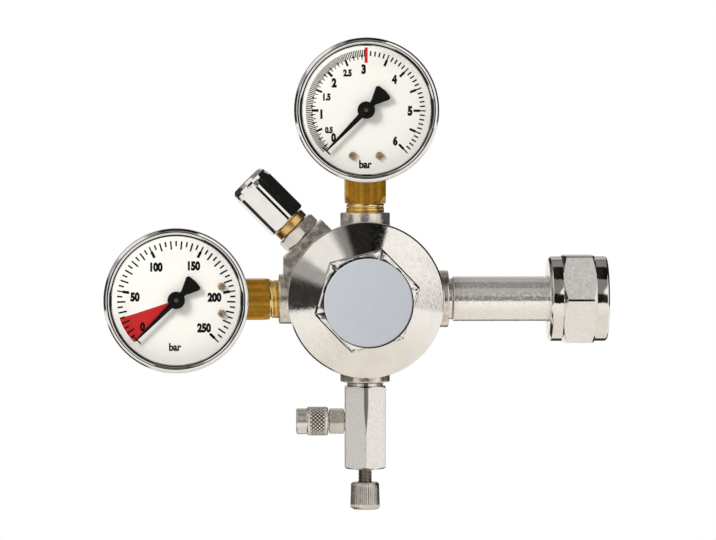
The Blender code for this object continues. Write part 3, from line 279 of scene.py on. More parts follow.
# %% [markdown]
# The regulator hangs on its bottle, so nothing touches a floor. A pale floor well below it still bounces light up,
# as the table did. It shows as plain white to the camera and in the metal.

# %% The floor
FLOOR_DROP, FLOOR_SIZE = 0.16, 1.6
floor_mesh = bpy.data.meshes.new("floor")
half = FLOOR_SIZE / 2
corners = [(CENTRE.x + a * half, b * half, solid_box[0][2] - FLOOR_DROP) for a, b in ((-1, -1), (1, -1), (1, 1), (-1, 1))]
floor_mesh.from_pydata(corners, [], [(0, 1, 2, 3)])
floor = bpy.data.objects.new("floor", floor_mesh)
bpy.context.collection.objects.link(floor)
paper = bpy.data.materials.new("paper")
paper.use_nodes = True
wires = Wires(paper.node_tree)
wires.tree.nodes.clear()
path = wires.add("ShaderNodeLightPath")
matt = wires.add("ShaderNodeBsdfDiffuse")
matt.inputs["Color"].default_value = (0.9, 0.9, 0.9, 1)
glow = wires.add("ShaderNodeEmission")
glow.inputs["Color"].default_value = (1, 1, 1, 1)
shown = wires.add("ShaderNodeMixShader")
straight = wires.math("MAXIMUM", path.outputs["Is Camera Ray"], path.outputs["Is Glossy Ray"])
wires.feed(shown.inputs[0], wires.math("MAXIMUM", straight, path.outputs["Is Transmission Ray"]))
wires.feed(shown.inputs[1], matt.outputs[0])
wires.feed(shown.inputs[2], glow.outputs[0])
wires.feed(wires.add("ShaderNodeOutputMaterial").inputs[0], shown.outputs[0])
floor_mesh.materials.append(paper)
floor.visible_glossy = False
print("floor", round(1000 * FLOOR_DROP), "mm below the knob")

# %% [markdown]
# Finishes come next. Nickel plate over turned brass is never a perfect mirror: fine turning marks, a faint orange
# peel and small smudges break up what it reflects. One recipe covers all metals here: noise sets how rough the
# surface is from place to place, and a fine bump bends the reflections a little. Numbers that are the same all over
# go straight on the shader.

# %% Recipes for metal and paint
def finish_named(name):
    """A new material and its wires, with the shader ready."""
    made = bpy.data.materials.new(name)
    made.use_nodes = True
    return made, Wires(made.node_tree), made.node_tree.nodes["Principled BSDF"]


def noise(wires, scale, detail=3.0, stretch=(1, 1, 1)):
    """Noise over the object's own place, scale in features for each metre, stretched along an axis."""
    place = wires.add("ShaderNodeTexCoord").outputs["Object"]
    spread = wires.add("ShaderNodeMapping")
    wires.feed(spread.inputs["Vector"], place)
    spread.inputs["Scale"].default_value = stretch
    node = wires.add("ShaderNodeTexNoise")
    wires.feed(node.inputs["Vector"], spread.outputs[0])
    node.inputs["Scale"].default_value = scale
    node.inputs["Detail"].default_value = detail
    return node.outputs["Fac"]


def metal(name, bright, dull, smooth, rough, peel=0.02, peel_scale=900, grain=0.0, grain_stretch=(1, 1, 1), fleck=160,
          streak=(1, 1, 1), grit=700, matte=0.0, painted_reflection=None):
    """Plated or bare metal between two colours and two roughnesses, with a peel and a directed grain in its bump.

    matte is the share that scatters light as a dull oxide or blasted face does."""
    made, wires, shader = finish_named(name)
    patches = wires.ramp(noise(wires, fleck, 3.0, streak), 0.35, 0.68)
    wires.feed(shader.inputs["Base Color"], wires.mix(patches, (*bright, 1), (*dull, 1)))
    shader.inputs["Metallic"].default_value = 1.0 - matte
    # A dark line along Z near X = 0, only on the -Y side and narrowing as Z rises: painted reflection.
    if painted_reflection:
        half_wide, low, high, dark = painted_reflection
        spot = wires.add("ShaderNodeSeparateXYZ")
        wires.feed(spot.inputs[0], wires.add("ShaderNodeTexCoord").outputs["Object"])
        across = wires.math("ABSOLUTE", wires.math("ADD", spot.outputs[0], 0.1 * MM), 0.0)
        reach = wires.ramp(spot.outputs[2], low, high, half_wide, -0.3 * MM)
        front = wires.ramp(spot.outputs[1], -3.0 * MM, 0.0, 1.0, 0.0)
        within = wires.ramp(wires.math("SUBTRACT", reach, across), -0.15 * MM, 0.15 * MM)
        unpainted_colour = shader.inputs["Base Color"].links[0].from_socket
        wires.feed(shader.inputs["Base Color"], wires.mix(wires.math("MULTIPLY", within, front), unpainted_colour, (*dark, 1)))
    fine = wires.ramp(noise(wires, grit, 4.0), 0.3, 0.75)
    wires.feed(shader.inputs["Roughness"], wires.ramp(fine, 0.0, 1.0, smooth, rough))
    height = wires.math("MULTIPLY", noise(wires, peel_scale, 2.0), peel)
    if grain:
        lines = noise(wires, 2400, 2.0, grain_stretch)
        height = wires.math("ADD", height, wires.math("MULTIPLY", lines, grain))
    bump = wires.add("ShaderNodeBump")
    bump.inputs["Strength"].default_value = 1.0
    bump.inputs["Distance"].default_value = 1.0 * MM
    wires.feed(bump.inputs["Height"], height)
    wires.feed(shader.inputs["Normal"], bump.outputs[0])
    return made


NICKEL = metal("nickel_plate", (0.9, 0.88, 0.85), (0.82, 0.8, 0.76), 0.05, 0.12, 0.02, 700)
CHROME = metal("bright_plate", (0.92, 0.92, 0.92), (0.86, 0.86, 0.86), 0.03, 0.08, 0.012, 800)
SATIN = metal("satin_plate", (0.93, 0.91, 0.89), (0.88, 0.86, 0.83), 0.07, 0.15, 0.012, 1100)
MOTTLED = metal("drawn_tube_plate", (0.94, 0.91, 0.87), (0.88, 0.85, 0.81), 0.06, 0.34, 0.003, 2200, fleck=1100,
                grit=900, matte=0.22)
TUMBLED = metal("tumbled_plate", (0.95, 0.93, 0.91), (0.86, 0.84, 0.82), 0.42, 0.62, 0.02, 1900, fleck=1700,
                matte=0.25)
# The valve block's camera-facing corner gets a dark tapering line: painted reflection.
BLOCK = metal("plate_with_painted_reflection", (0.95, 0.93, 0.9), (0.86, 0.84, 0.81), 0.3, 0.4, 0.012, 1900, fleck=1500,
              matte=0.1, painted_reflection=(0.75 * MM, 36 * MM, 52 * MM, (0.24, 0.225, 0.19)))
CAST = metal("cast_plate", (0.86, 0.8, 0.73), (0.6, 0.54, 0.48), 0.2, 0.32, 0.018, 700, fleck=420,
             grit=500, matte=0.12)
DULL = metal("worn_plate", (0.74, 0.705, 0.645), (0.64, 0.61, 0.555), 0.2, 0.3, 0.004, 900, matte=0.12)
TURNED = metal("turned_plate", (0.86, 0.83, 0.78), (0.77, 0.74, 0.69), 0.24, 0.32, 0.004, 900, matte=0.1)
HANDLED = metal("handled_plate", (0.72, 0.685, 0.625), (0.6, 0.565, 0.51), 0.2, 0.3, 0.004, 900, matte=0.06)
# Near-black metal for the valleys of the hose nut's knurl: painted shade.
KNURL_SHADE = metal("knurl_painted_shade", (0.1, 0.09, 0.08), (0.06, 0.055, 0.05), 0.35, 0.5, 0.01, 900)
BRASS = metal("milled_brass", (0.62, 0.31, 0.03), (0.4, 0.18, 0.012), 0.24, 0.3, 0.002, 900, 0.03, (1, 1, 0.05),
              fleck=700, streak=(1, 1, 0.03), matte=0.4)
TURNED_BRASS = metal("turned_brass", (0.98, 0.74, 0.31), (0.85, 0.58, 0.19), 0.08, 0.18, 0.01, 900, matte=0.1)
RING_BRASS = metal("ring_brass", (0.86, 0.59, 0.26), (0.72, 0.46, 0.18), 0.27, 0.34, 0.006, 900, matte=0.04)
SCREW_BRASS = metal("screw_brass", (0.95, 0.74, 0.48), (0.5, 0.32, 0.18), 0.2, 0.4, 0.03, 2500, fleck=1100,
                    matte=0.15)
STEEL = metal("spring_steel", (0.34, 0.3, 0.27), (0.22, 0.2, 0.18), 0.2, 0.34, 0.01, 1200)
METALS = (NICKEL, CHROME, SATIN, MOTTLED, TUMBLED, BLOCK, CAST, DULL, TURNED, HANDLED, KNURL_SHADE, BRASS,
          TURNED_BRASS, RING_BRASS, SCREW_BRASS, STEEL)
print("metals:", [m.name for m in METALS])


def paint(name, colour, shade, rough, shine=0.5):
    """Paint, enamel, rubber or plastic, a little uneven in colour and gloss."""
    made, wires, shader = finish_named(name)
    wires.feed(shader.inputs["Base Color"], wires.mix(noise(wires, 260), (*colour, 1), (*shade, 1)))
    wires.feed(shader.inputs["Roughness"], wires.ramp(noise(wires, 900), 0.2, 0.8, rough - 0.06, rough + 0.06))
    shader.inputs["Specular IOR Level"].default_value = shine
    return made


LABEL = paint("label_plate", (0.455, 0.475, 0.51), (0.42, 0.44, 0.475), 0.4)
DIAL = paint("dial_enamel", (0.95, 0.93, 0.88), (0.91, 0.895, 0.84), 0.5, 0.2)
INK = paint("dial_ink", (0.004, 0.004, 0.004), (0.01, 0.01, 0.01), 0.6, 0.08)
RED = paint("dial_red", (0.6, 0.009, 0.01), (0.52, 0.006, 0.007), 0.5)
BLACK = paint("pointer_enamel", (0.003, 0.003, 0.003), (0.008, 0.008, 0.008), 0.5, 0.12)
RUBBER = paint("black_rubber", (0.02, 0.02, 0.02), (0.03, 0.03, 0.03), 0.7)
NYLON = paint("white_nylon", (0.82, 0.81, 0.74), (0.78, 0.76, 0.7), 0.45)

GLASS, wires, shader = finish_named("clear_window")
wires.tree.nodes.remove(shader)
mirror = wires.add("ShaderNodeBsdfGlossy")
wires.feed(mirror.inputs["Roughness"], wires.ramp(noise(wires, 120), 0.3, 0.7, 0.02, 0.05))
open_view = wires.add("ShaderNodeBsdfTransparent")
pane = wires.add("ShaderNodeMixShader")
fresnel = wires.add("ShaderNodeFresnel")
fresnel.inputs["IOR"].default_value = 1.12
wires.feed(pane.inputs[0], fresnel.outputs[0])
wires.feed(pane.inputs[1], open_view.outputs[0])
wires.feed(pane.inputs[2], mirror.outputs[0])
wires.feed(wires.tree.nodes["Material Output"].inputs[0], pane.outputs[0])

# %% [markdown]
# A solid that stays as it is gets the finish of its material slot. Most of those pieces are inside and never seen,
# but a cutaway would show them. The finer pieces that come next name a slot too, but are given their finish directly.

# %% Finishes on the solids
FINISHES = {"chrome": CHROME, "satin_nickel": SATIN, "brass": TURNED_BRASS, "bright_brass": TURNED_BRASS,
            "steel": STEEL, "label_grey": LABEL, "rubber": RUBBER, "nylon": NYLON, "dial_white": DIAL,
            "pointer_black": BLACK, "clear": GLASS}
slots_of = {}
for name, solid in frame["nodes"].items():
    for material_slot in solid.material_slots:
        slots_of[name] = material_slot.material.name.split(".")[0]
        material_slot.material = FINISHES[slots_of[name]]
print("slots in use:", sorted(set(slots_of.values())))

# %% [markdown]
# Now the shapes. A turned piece is a lathe shape: a profile of radius and height spun about Z. A hexagon on a lathe
# has its edges cut by a cone, which draws the curved lines that every nut shows. Measuring the hexagon's radius by
# angle gives those curves exactly. A thread or a knurl is a radius that depends on both angle and height.

# %% Shapes
TURN = 2 * math.pi


def skin(rings, closed_low=True, closed_high=True, loop=False):
    """Joins rings of points, all with the same count, into a surface, with a face on each open end if asked."""
    bm = bmesh.new()
    made = [[bm.verts.new(point) for point in ring] for ring in rings]
    pairs = list(zip(made, made[1:]))
    if loop:
        pairs.append((made[-1], made[0]))
    for low, high in pairs:
        for i in range(len(low)):
            j = (i + 1) % len(low)
            bm.faces.new([low[i], low[j], high[j], high[i]])
    if closed_low and not loop:
        bm.faces.new(made[0][::-1])
    if closed_high and not loop:
        bm.faces.new(made[-1])
    return bm


def polar(radius_at, height_at, angles):
    """A ring of points whose radius and height depend on the angle."""
    return [(radius_at(a) * math.cos(a), radius_at(a) * math.sin(a), height_at(a)) for a in angles]


def round_angles(sides):
    return [TURN * i / sides for i in range(sides)]


def rounded(profile, radius, steps=3, loop=False):
    """Softens the corners of a profile of (radius, height) points; its two ends stay sharp unless it is a loop."""
    points = [Vector(p) for p in profile]
    out = []
    for i, point in enumerate(points):
        if not loop and i in (0, len(points) - 1):
            out.append(tuple(point))
            continue
        before, after = points[i - 1] - point, points[(i + 1) % len(points)] - point
        reach = min(radius, 0.45 * before.length, 0.45 * after.length)
        one, two = point + before.normalized() * reach, point + after.normalized() * reach
        for step in range(steps + 1):
            t = step / steps
            out.append(tuple((1 - t) ** 2 * one + 2 * t * (1 - t) * point + t * t * two))
    return out


def lathe(profile, sides=96, soft=0.15, loop=False):
    """Spins a profile about Z. With loop it closes on itself as a ring; otherwise it starts and ends at the axis."""
    if soft:
        profile = rounded(profile, soft, loop=loop)
    if not loop:
        profile = [p for p in profile if p[0] > 0]
    angles = round_angles(sides)
    return skin([[(r * math.cos(a), r * math.sin(a), h) for a in angles] for r, h in profile], loop=loop)


def hex_radius(flats, turn, corner=0.25):
    """The radius of a hexagon across flats at an angle, with its corners rounded, and the angles to draw it at."""
    flat = flats / 2
    reach = (flat - corner) / math.cos(math.pi / 6)
    edge = math.atan((flat - corner) * math.tan(math.pi / 6) / flat)

    def radius_at(angle):
        off_flat = (angle - math.radians(turn)) % (math.pi / 3) - math.pi / 6
        if abs(off_flat) <= edge:
            return flat / math.cos(off_flat)
        off_corner = math.pi / 6 - abs(off_flat)
        return reach * math.cos(off_corner) + math.sqrt(corner ** 2 - (reach * math.sin(off_corner)) ** 2)

    one = [edge * t for t in (-1, -0.985, -0.8, -0.6, -0.4, -0.2, 0, 0.2, 0.4, 0.6, 0.8, 0.985, 1)]
    one += [edge + (math.pi / 6 - edge) * t for t in (0.35, 0.7, 1.0, 1.3, 1.65)]
    angles = [math.radians(turn) + math.pi / 6 + math.pi / 3 * k + a for k in range(6) for a in one]
    return radius_at, angles


def broken_hexagon(flats, turn, reach, lean=20):
    """Like hex_radius, with corners broken by flats at a reach from the axis: two each, or one with a lean of 30."""
    flat, lean, half = flats / 2, math.radians(lean), math.pi / 6
    rise = (reach - flat * math.cos(lean)) / math.sin(lean)
    edge = math.atan(rise / flat)

    def radius_at(angle):
        off = abs((angle - math.radians(turn)) % (math.pi / 3) - half)
        return min(flat / math.cos(off), reach / math.cos(off - lean))

    one = [edge * t for t in (-1, -0.985, -0.6, -0.2, 0.2, 0.6, 0.985, 1)]
    one += [edge + (half - edge) * t for t in (0.06, 0.5, 0.94, 1.0, 1.06, 1.5, 1.94)]
    return radius_at, [math.radians(turn) + half + math.pi / 3 * k + a for k in range(6) for a in one]


def hex_bar(flats, low, high, turn, low_r=0.0, high_r=0.0, slope=30.0, shape=None):
    """A hexagon bar. An end with a radius is turned to a cone outside that radius."""
    radius_at, angles = shape or hex_radius(flats, turn)
    fall = math.tan(math.radians(slope))
    rings = []
    if low_r:
        rings.append(polar(lambda a: min(low_r, radius_at(a)), lambda a: low, angles))
        rings.append(polar(radius_at, lambda a: low + max(radius_at(a) - low_r, 0.02) * fall, angles))
    else:
        rings.append(polar(radius_at, lambda a: low, angles))
    if high_r:
        rings.append(polar(radius_at, lambda a: high - max(radius_at(a) - high_r, 0.02) * fall, angles))
        rings.append(polar(lambda a: min(high_r, radius_at(a)), lambda a: high, angles))
    else:
        rings.append(polar(radius_at, lambda a: high, angles))
    return skin(rings)


def thread(root, crest, pitch, low, high, sides=60, inside=False):
    """A screw thread about Z: a surface whose radius rises and falls with height and follows a helix."""
    steps = int((high - low) / pitch * 8)
    rings = []
    for k in range(steps + 1):
        level = low + (high - low) * k / steps
        ring = []
        for a in round_angles(sides):
            phase = (level / pitch - a / TURN) % 1.0
            share = min(1.0, max(0.0, 1.3 - 2.6 * abs(phase - 0.5)))
            r = root + (crest - root) * share
            ring.append((r * math.cos(a), r * math.sin(a), level))
        rings.append(ring)
    return skin(rings, closed_low=not inside, closed_high=not inside)


def box(low, high):
    """A block between two corners."""
    ring = [(low[0], low[1]), (high[0], low[1]), (high[0], high[1]), (low[0], high[1])]
    return skin([[(x, y, h) for x, y in ring] for h in (low[2], high[2])])


def prism(points, low, high):
    """A flat outline given a thickness along Z."""
    return skin([[(x, y, h) for x, y in points] for h in (low, high)])


def moved(bm, x=0.0, y=0.0, z=0.0):
    bmesh.ops.translate(bm, vec=(x, y, z), verts=bm.verts)
    return bm


made_so_far = []


def show(name, parts, finish, axis, body, slot, *nodes, edge=0.0, angle=32.0, second=None, where=None):
    """Makes one piece of the picture out of shapes in millimetres about an axis, and hides the solids that it stands
    for; its slot is not used.

    A second finish goes on the faces that a test picks by their middle and their normal."""
    bm = bmesh.new()
    for part in parts if isinstance(parts, list) else [parts]:
        bmesh.ops.recalc_face_normals(part, faces=part.faces)
        loose = bpy.data.meshes.new("part")
        part.to_mesh(loose)
        part.free()
        bm.from_mesh(loose)
        bpy.data.meshes.remove(loose)
    if second:
        for face in bm.faces:
            face.normal_update()
            face.material_index = int(where(face.calc_center_median(), face.normal))
    bmesh.ops.scale(bm, vec=(MM, MM, MM), verts=bm.verts)
    mesh = bpy.data.meshes.new(name)
    bm.to_mesh(mesh)
    bm.free()
    mesh.shade_smooth()
    mesh.set_sharp_from_angle(angle=math.radians(angle))
    piece = bpy.data.objects.new(name, mesh)
    bpy.context.collection.objects.link(piece)
    mesh.materials.append(finish)
    if second:
        mesh.materials.append(second)
    if edge:
        bevel = piece.modifiers.new("edge", "BEVEL")
        bevel.width = edge * MM
        bevel.segments = 2
        bevel.limit_method = "ANGLE"
        bevel.angle_limit = math.radians(angle)
        bevel.use_clamp_overlap = True
        steady = piece.modifiers.new("steady", "WEIGHTED_NORMAL")
        steady.keep_sharp = False
        view_layer = bpy.context.evaluated_depsgraph_get()
        softer = bpy.data.meshes.new_from_object(piece.evaluated_get(view_layer))
        piece.modifiers.clear()
        piece.data = softer
        bpy.data.meshes.remove(mesh)
    piece.matrix_world = axis
    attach(piece, body)
    if nodes:
        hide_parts(*nodes)
    made_so_far.append(name)
    return piece

# %% [markdown]
# The body comes first. It is a forging: a round cup with a boss for each port and a flat pad at the upper left for
# the relief valve. From the front the bonnet hides nearly all of it.

# %% Body and rear plug
core = [(0, -16.0), (13.0, -16.0), (14.0, -15.0), (24.0, -9.5), (25.2, -8.3), (25.2, 8.7), (24.0, 9.9), (0, 9.9)]


def boss(radius, end, thread_r):
    """A port's boss with a bored and chamfered mouth."""
    return lathe([(0, 5), (radius, 5), (radius, end), (thread_r + 0.7, end), (thread_r + 0.3, end - 0.5),
                  (thread_r + 0.3, 22.0), (0, 22.0)], 96, 0.5)


def turned_into(bm, frame_from, frame_to):
    """Carries a shape from one port's axis to another's, so that it can join a piece there."""
    shift = frame_to.inverted() @ frame_from
    shift.translation = shift.translation / MM
    bmesh.ops.transform(bm, matrix=shift, verts=bm.verts)
    return bm


root_half = math.sqrt(0.5)
along, across = Vector((-root_half, root_half)), Vector((root_half, root_half))
low_corner = along * 30.2 - across * 9.9
pad = [(-28.4, 0), (-28.4, low_corner.y), tuple(along * 30.2 + across * 8.75), tuple(along * 21.2 + across * 8.75),
       (0, 0)]
body_parts = [lathe(core, 160, 0.6), prism(pad, -7.6, 7.6)]
for port, radius, end, thread_r in ((UP, 8.6, 30.0, 6.6), (LEFT, 8.6, 30.0, 6.6), (RIGHT, 9.85, 28.8, 8.0),
                                    (DOWN, 8.6, 28.8, 6.0)):
    body_parts.append(turned_into(boss(radius, end, thread_r), port, FRONT))
show("body_forging", body_parts, CAST, FRONT, "regulator", "chrome", "regulator_body", edge=0.5)
plug = [hex_bar(17.0, -21.3, -16.3, 0, low_r=8.2)]
show("rear_plug_hex", plug, NICKEL, FRONT, "regulator", "chrome", "rear_plug", edge=0.15)
print("body made of", len(body_parts), "shapes")

# %% [markdown]
# The bonnet is a cone that ends in a hexagon. The cone is cut down so far that the hexagon stands out of it only at
# its corners, as three-sided shoulders. Its surface is drawn ring by ring: rim, cone, foot of the hexagon's wall,
# top of that wall, and face.

# %% Bonnet and its plate
CONE_FOOT, CONE_FOOT_H = 26.4, 12.8
HEX_FACE, HEX_FLAT, HEX_FOOT_H, CORNER_CUT_R = 21.0, 15.9, 20.15, 16.9
hex_at, hex_angles = hex_radius(2 * HEX_FLAT, 14.0, 0.5)
fine_angles = []
for one, two in zip(hex_angles, hex_angles[1:] + [hex_angles[0] + TURN]):
    fine_angles += [one, (one + two) / 2]


def cone_height(radius):
    """The cone rises from the rim to the foot of the hexagon's walls."""
    return CONE_FOOT_H + (HEX_FOOT_H - CONE_FOOT_H) * (CONE_FOOT - radius) / (CONE_FOOT - HEX_FLAT)


def ring_at(radius, height):
    return polar(lambda a: radius, lambda a: height, fine_angles)


def wall_ring(outward, height):
    """A ring that follows the hexagon a little way outside or inside its wall."""
    return polar(lambda a: hex_at(a) + outward, height, fine_angles)


def wall_top(angle):
    """The wall's top is cut down at the corners by a cone."""
    return HEX_FACE - 0.35 - max(0.0, hex_at(angle) - CORNER_CUT_R) * 0.6


bonnet_rings = [ring_at(20.5, 10.2), ring_at(26.6, 10.2), ring_at(26.88, 10.32), ring_at(27.0, 10.6),
                ring_at(27.0, 12.05), ring_at(26.95, 12.22), ring_at(26.58, 12.68), ring_at(CONE_FOOT, 12.8)]
bonnet_rings += [ring_at(r, cone_height(r)) for r in (26.1, 24.5, 22.5, 20.5, 19.4, 18.9)]
bonnet_rings += [wall_ring(0.42, lambda a: cone_height(hex_at(a) + 0.42)),
                 wall_ring(0.3, lambda a: cone_height(hex_at(a) + 0.3)),
                 wall_ring(0.08, lambda a: cone_height(hex_at(a)) + 0.08),
                 wall_ring(0.0, lambda a: min(cone_height(hex_at(a)) + 0.35, wall_top(a) - 0.02)),
                 wall_ring(0.0, wall_top), wall_ring(-0.08, lambda a: wall_top(a) + 0.18),
                 wall_ring(-0.4, lambda a: HEX_FACE - 0.06 - max(0.0, hex_at(a) - CORNER_CUT_R) * 0.35),
                 polar(lambda a: min(hex_at(a) - 0.55, CORNER_CUT_R), lambda a: HEX_FACE - 0.05 - max(0.0, hex_at(a) - 15.8)
                       * 0.22, fine_angles), ring_at(15.1, HEX_FACE)]
bonnet_rings.append(ring_at(4.3, HEX_FACE))
bonnet_rings.append(ring_at(4.3, 19.0))
show("bonnet_cone", skin(bonnet_rings), SATIN, FRONT, "regulator", "satin_nickel", "bonnet", angle=24)
plate = moved(lathe([(0, 21.1), (15.15, 21.1), (15.15, 21.75), (14.9, 22.0), (0, 22.0)], 160, 0.12), 0.3, -0.5)
show("bonnet_plate", plate, LABEL, FRONT, "regulator", "label_grey", "bonnet_label")
# A black disc a little wider than the plate, set off to the lower right beneath it: painted shadow of the plate's
# edge.
plate_shadow_disc = moved(lathe([(0, 21.02), (15.35, 21.02), (15.35, 21.3), (0, 21.3)], 160, 0), 0.58, -0.78)
show("plate_painted_shadow", plate_shadow_disc, RUBBER, FRONT, "regulator", "label_grey")
print("bonnet rings:", len(bonnet_rings), "of", len(fine_angles), "points")

# %% [markdown]
# The inlet's stem is drawn tube with a groove where it leaves the body. A loose union nut pulls its collar onto the
# bottle's valve. The nut has a hexagon in its middle and a turned collar on each side, and a W21.8 thread inside
# that shows from the right.

# %% Inlet
stem = [(0, 22.6), (7.9, 22.6), (7.9, 28.5), (7.1, 28.6), (7.1, 29.9), (7.75, 30.7), (7.75, 69.1), (9.6, 69.1),
        (9.6, 71.6), (3.5, 71.6), (3.5, 66.0), (0, 66.0)]
show("stem_tube", lathe(stem, 128, 0.12), MOTTLED, RIGHT, "regulator", "chrome", "inlet_stem")
gasket = [(3.0, 71.9), (9.0, 71.9), (9.0, 74.3), (3.0, 74.3)]
show("gasket_ring", lathe(gasket, 96, 0.2, loop=True), NYLON, RIGHT, "regulator", "nylon", "inlet_gasket")
NUT_LOW, NUT_HIGH = 63.6, 84.0
nut_hex = hex_bar(30.0, 68.1, 79.7, 30, 14.75, 14.75, shape=broken_hexagon(30.0, 30, 17.13, 30))
back_collar = [(8.05, NUT_LOW), (13.9, NUT_LOW), (14.75, 64.5), (14.75, 69.5), (8.05, 69.5)]
front_collar = [(10.9, NUT_HIGH), (14.2, NUT_HIGH), (14.75, 83.4), (14.75, 78.5), (11.2, 78.5), (11.2, 83.3)]
collars = [lathe(back_collar, 128, 0.25, loop=True), lathe(front_collar[::-1], 128, 0.2, loop=True)]


def hollow(outer, bore_r, low, high):
    """Opens a bar made by hex_bar along its axis: its end faces become rings round a bore."""
    ends = [face for face in outer.faces if len(face.verts) > 4]
    for face in ends:
        ring = list(face.verts)
        level = low if face.calc_center_median().z < (low + high) / 2 else high
        inner = [outer.verts.new((bore_r * v.co.x / math.hypot(v.co.x, v.co.y),
                                  bore_r * v.co.y / math.hypot(v.co.x, v.co.y), level)) for v in ring]
        outer.faces.remove(face)
        for i in range(len(ring)):
            j = (i + 1) % len(ring)
            outer.faces.new([ring[i], ring[j], inner[j], inner[i]])
    return outer


show("union_nut_collars", collars, NICKEL, RIGHT, "bottle_nut", "chrome", "bottle_nut", angle=40)


def turned_or_worn(flats):
    """Picks a hexagon's turned end cones and its worn long edges."""
    return lambda middle, normal: abs(normal.z) > 0.3 or math.hypot(middle.x, middle.y) > 0.977 * flats / math.sqrt(3)


show("union_nut_hexagon", hollow(nut_hex, 11.2, 68.1, 79.7), TUMBLED, RIGHT, "bottle_nut", "chrome", edge=0.12, angle=24,
     second=NICKEL, where=turned_or_worn(30.0))
inner_thread = thread(11.3, 10.15, 1.814, 69.0, 83.0, 96, inside=True)
show("union_thread", inner_thread, CHROME, RIGHT, "bottle_nut", "chrome", angle=60)
print("union nut is", NUT_HIGH - NUT_LOW, "mm long")

# %% [markdown]
# The relief valve stands on the slanted pad: a short hexagon, a brass sleeve that shows as a ring, and a long
# hexagon cap with a rounded end and a vent hole.

# %% Relief valve
base = hex_bar(14.0, 30.5, 34.7, 40, 6.8, 6.8)
show("relief_hexagon", base, DULL, SLANTED, "regulator", "chrome", "relief_base", edge=0.15, angle=24)
sleeve = [(0, 31.8), (4.9, 31.8), (4.9, 34.9), (6.0, 35.0), (6.25, 35.3), (6.25, 37.6), (6.0, 37.9), (4.9, 37.9),
          (4.9, 42.0), (0, 42.0)]
show("relief_ring", lathe(sleeve, 96, 0.12), RING_BRASS, SLANTED, "regulator", "brass", "relief_sleeve")
CAP_LOW, CAP_HIGH = 38.2, 58.3


cap_at, cap_angles = broken_hexagon(14.0, 40, 7.62)


def cap_ring(radius, height):
    return polar(lambda a: min(cap_at(a), radius), lambda a: height, cap_angles)


cap_rings = [polar(lambda a: min(cap_at(a), 6.8), lambda a: CAP_LOW, cap_angles),
             polar(cap_at, lambda a: CAP_LOW + max(cap_at(a) - 6.8, 0.03) * 0.577, cap_angles),
             polar(cap_at, lambda a: CAP_HIGH - 2.3 - max(cap_at(a) - 7.0, 0.0) * 2.6, cap_angles),
             cap_ring(7.0, CAP_HIGH - 2.2)]
cap_rings += [cap_ring(6.95, CAP_HIGH - 1.4), cap_ring(6.15, CAP_HIGH - 0.42), cap_ring(5.9, CAP_HIGH - 0.2),
              cap_ring(5.6, CAP_HIGH - 0.06), cap_ring(5.3, CAP_HIGH)]
cap_rings += [cap_ring(1.3, CAP_HIGH), cap_ring(1.15, CAP_HIGH - 0.2), cap_ring(1.15, CAP_HIGH - 3.0)]
show("relief_cap_hexagon", skin(cap_rings), CHROME, SLANTED, "regulator", "chrome", "relief_cap", angle=13)
print("relief cap is", round(CAP_HIGH - CAP_LOW, 1), "mm long")

# %% [markdown]
# Below the body hangs the needle valve. Its spindle has a fine thread, and its knob straight ridges. The hose nut at
# its side has a diamond knurl. Both knurls are a radius that follows helices: one family of lines for the knob, two
# crossing families for the nut.

# %% Needle valve and hose nut
block = hex_bar(14.0, 30.1, 59.0, 30, 6.8, 6.6, shape=broken_hexagon(14.0, 30, 8.0, 30))
neck = lathe([(0, 22.6), (5.9, 22.6), (5.9, 29.1), (6.25, 29.2), (6.25, 30.6), (0, 30.6)], 96, 0.1)
show("valve_block", [block, neck], BLOCK, DOWN, "regulator", "chrome", "needle_block", edge=0.15, angle=24,
     second=NICKEL, where=lambda middle, normal: abs(normal.z) > 0.3)
gland = lathe([(2.7, 51.4), (4.1, 51.4), (4.1, 58.7), (2.7, 58.7)], 72, 0.1, loop=True)
show("gland_ring", gland, TURNED_BRASS, DOWN, "regulator", "brass", "spindle_gland")
spindle = [thread(2.12, 2.36, 0.5, 53.0, 65.5, 60), lathe([(0, 38.6), (0.35, 38.6), (1.5, 42.6), (1.5, 52.6),
                                                         (2.2, 53.2), (0, 53.2)], 48, 0.05)]
show("spindle_thread", spindle, STEEL, DOWN, "spindle", "chrome", "needle_spindle", angle=60)


def knurled(low, high, radius_at_height, depth, count, lean, sides, steps, crossed, top=0.35):
    """A knurled wall: ridges that lean by an angle per millimetre, crossed by a mirror family if asked."""
    rings = []
    for k in range(steps + 1):
        level = low + (high - low) * k / steps
        ring = []
        for a in round_angles(sides):
            one = abs(((a * count / TURN + lean * level) % 1.0) - 0.5) * 2
            two = abs(((a * count / TURN - lean * level) % 1.0) - 0.5) * 2
            cut = max(one, two) if crossed else one
            fade = min(1.0, 4 * min(level - low, high - level) / (high - low) + 0.15) if crossed else 1.0
            r = radius_at_height(level) - depth * fade * max(0.0, (cut - top) / (1 - top))
            ring.append((r * math.cos(a), r * math.sin(a), level))
        rings.append(ring)
    return rings


KNOB_TOP, KNOB_FOOT, RIDGES = 63.7, 73.1, 36


def knob_wall(level):
    return 4.9 + 0.3 * ((level - KNOB_TOP) / (KNOB_FOOT - KNOB_TOP)) ** 1.5


def plain_ring(radius, height, sides):
    return [(radius * math.cos(a), radius * math.sin(a), height) for a in round_angles(sides)]


sides = RIDGES * 6
knob_rings = [plain_ring(2.7, 66.6, sides), plain_ring(2.7, KNOB_TOP, sides), plain_ring(4.1, KNOB_TOP, sides),
              plain_ring(4.5, KNOB_TOP + 0.2, sides)]
knob_rings += knurled(KNOB_TOP + 0.7, KNOB_FOOT - 0.9, knob_wall, 0.13, RIDGES, 0.0, sides, 6, False)
knob_rings += [plain_ring(4.75, KNOB_FOOT - 0.25, sides), plain_ring(4.2, KNOB_FOOT, sides)]
show("knob_ridges", skin(knob_rings), HANDLED, DOWN, "knob", "chrome", "needle_knob", angle=50)

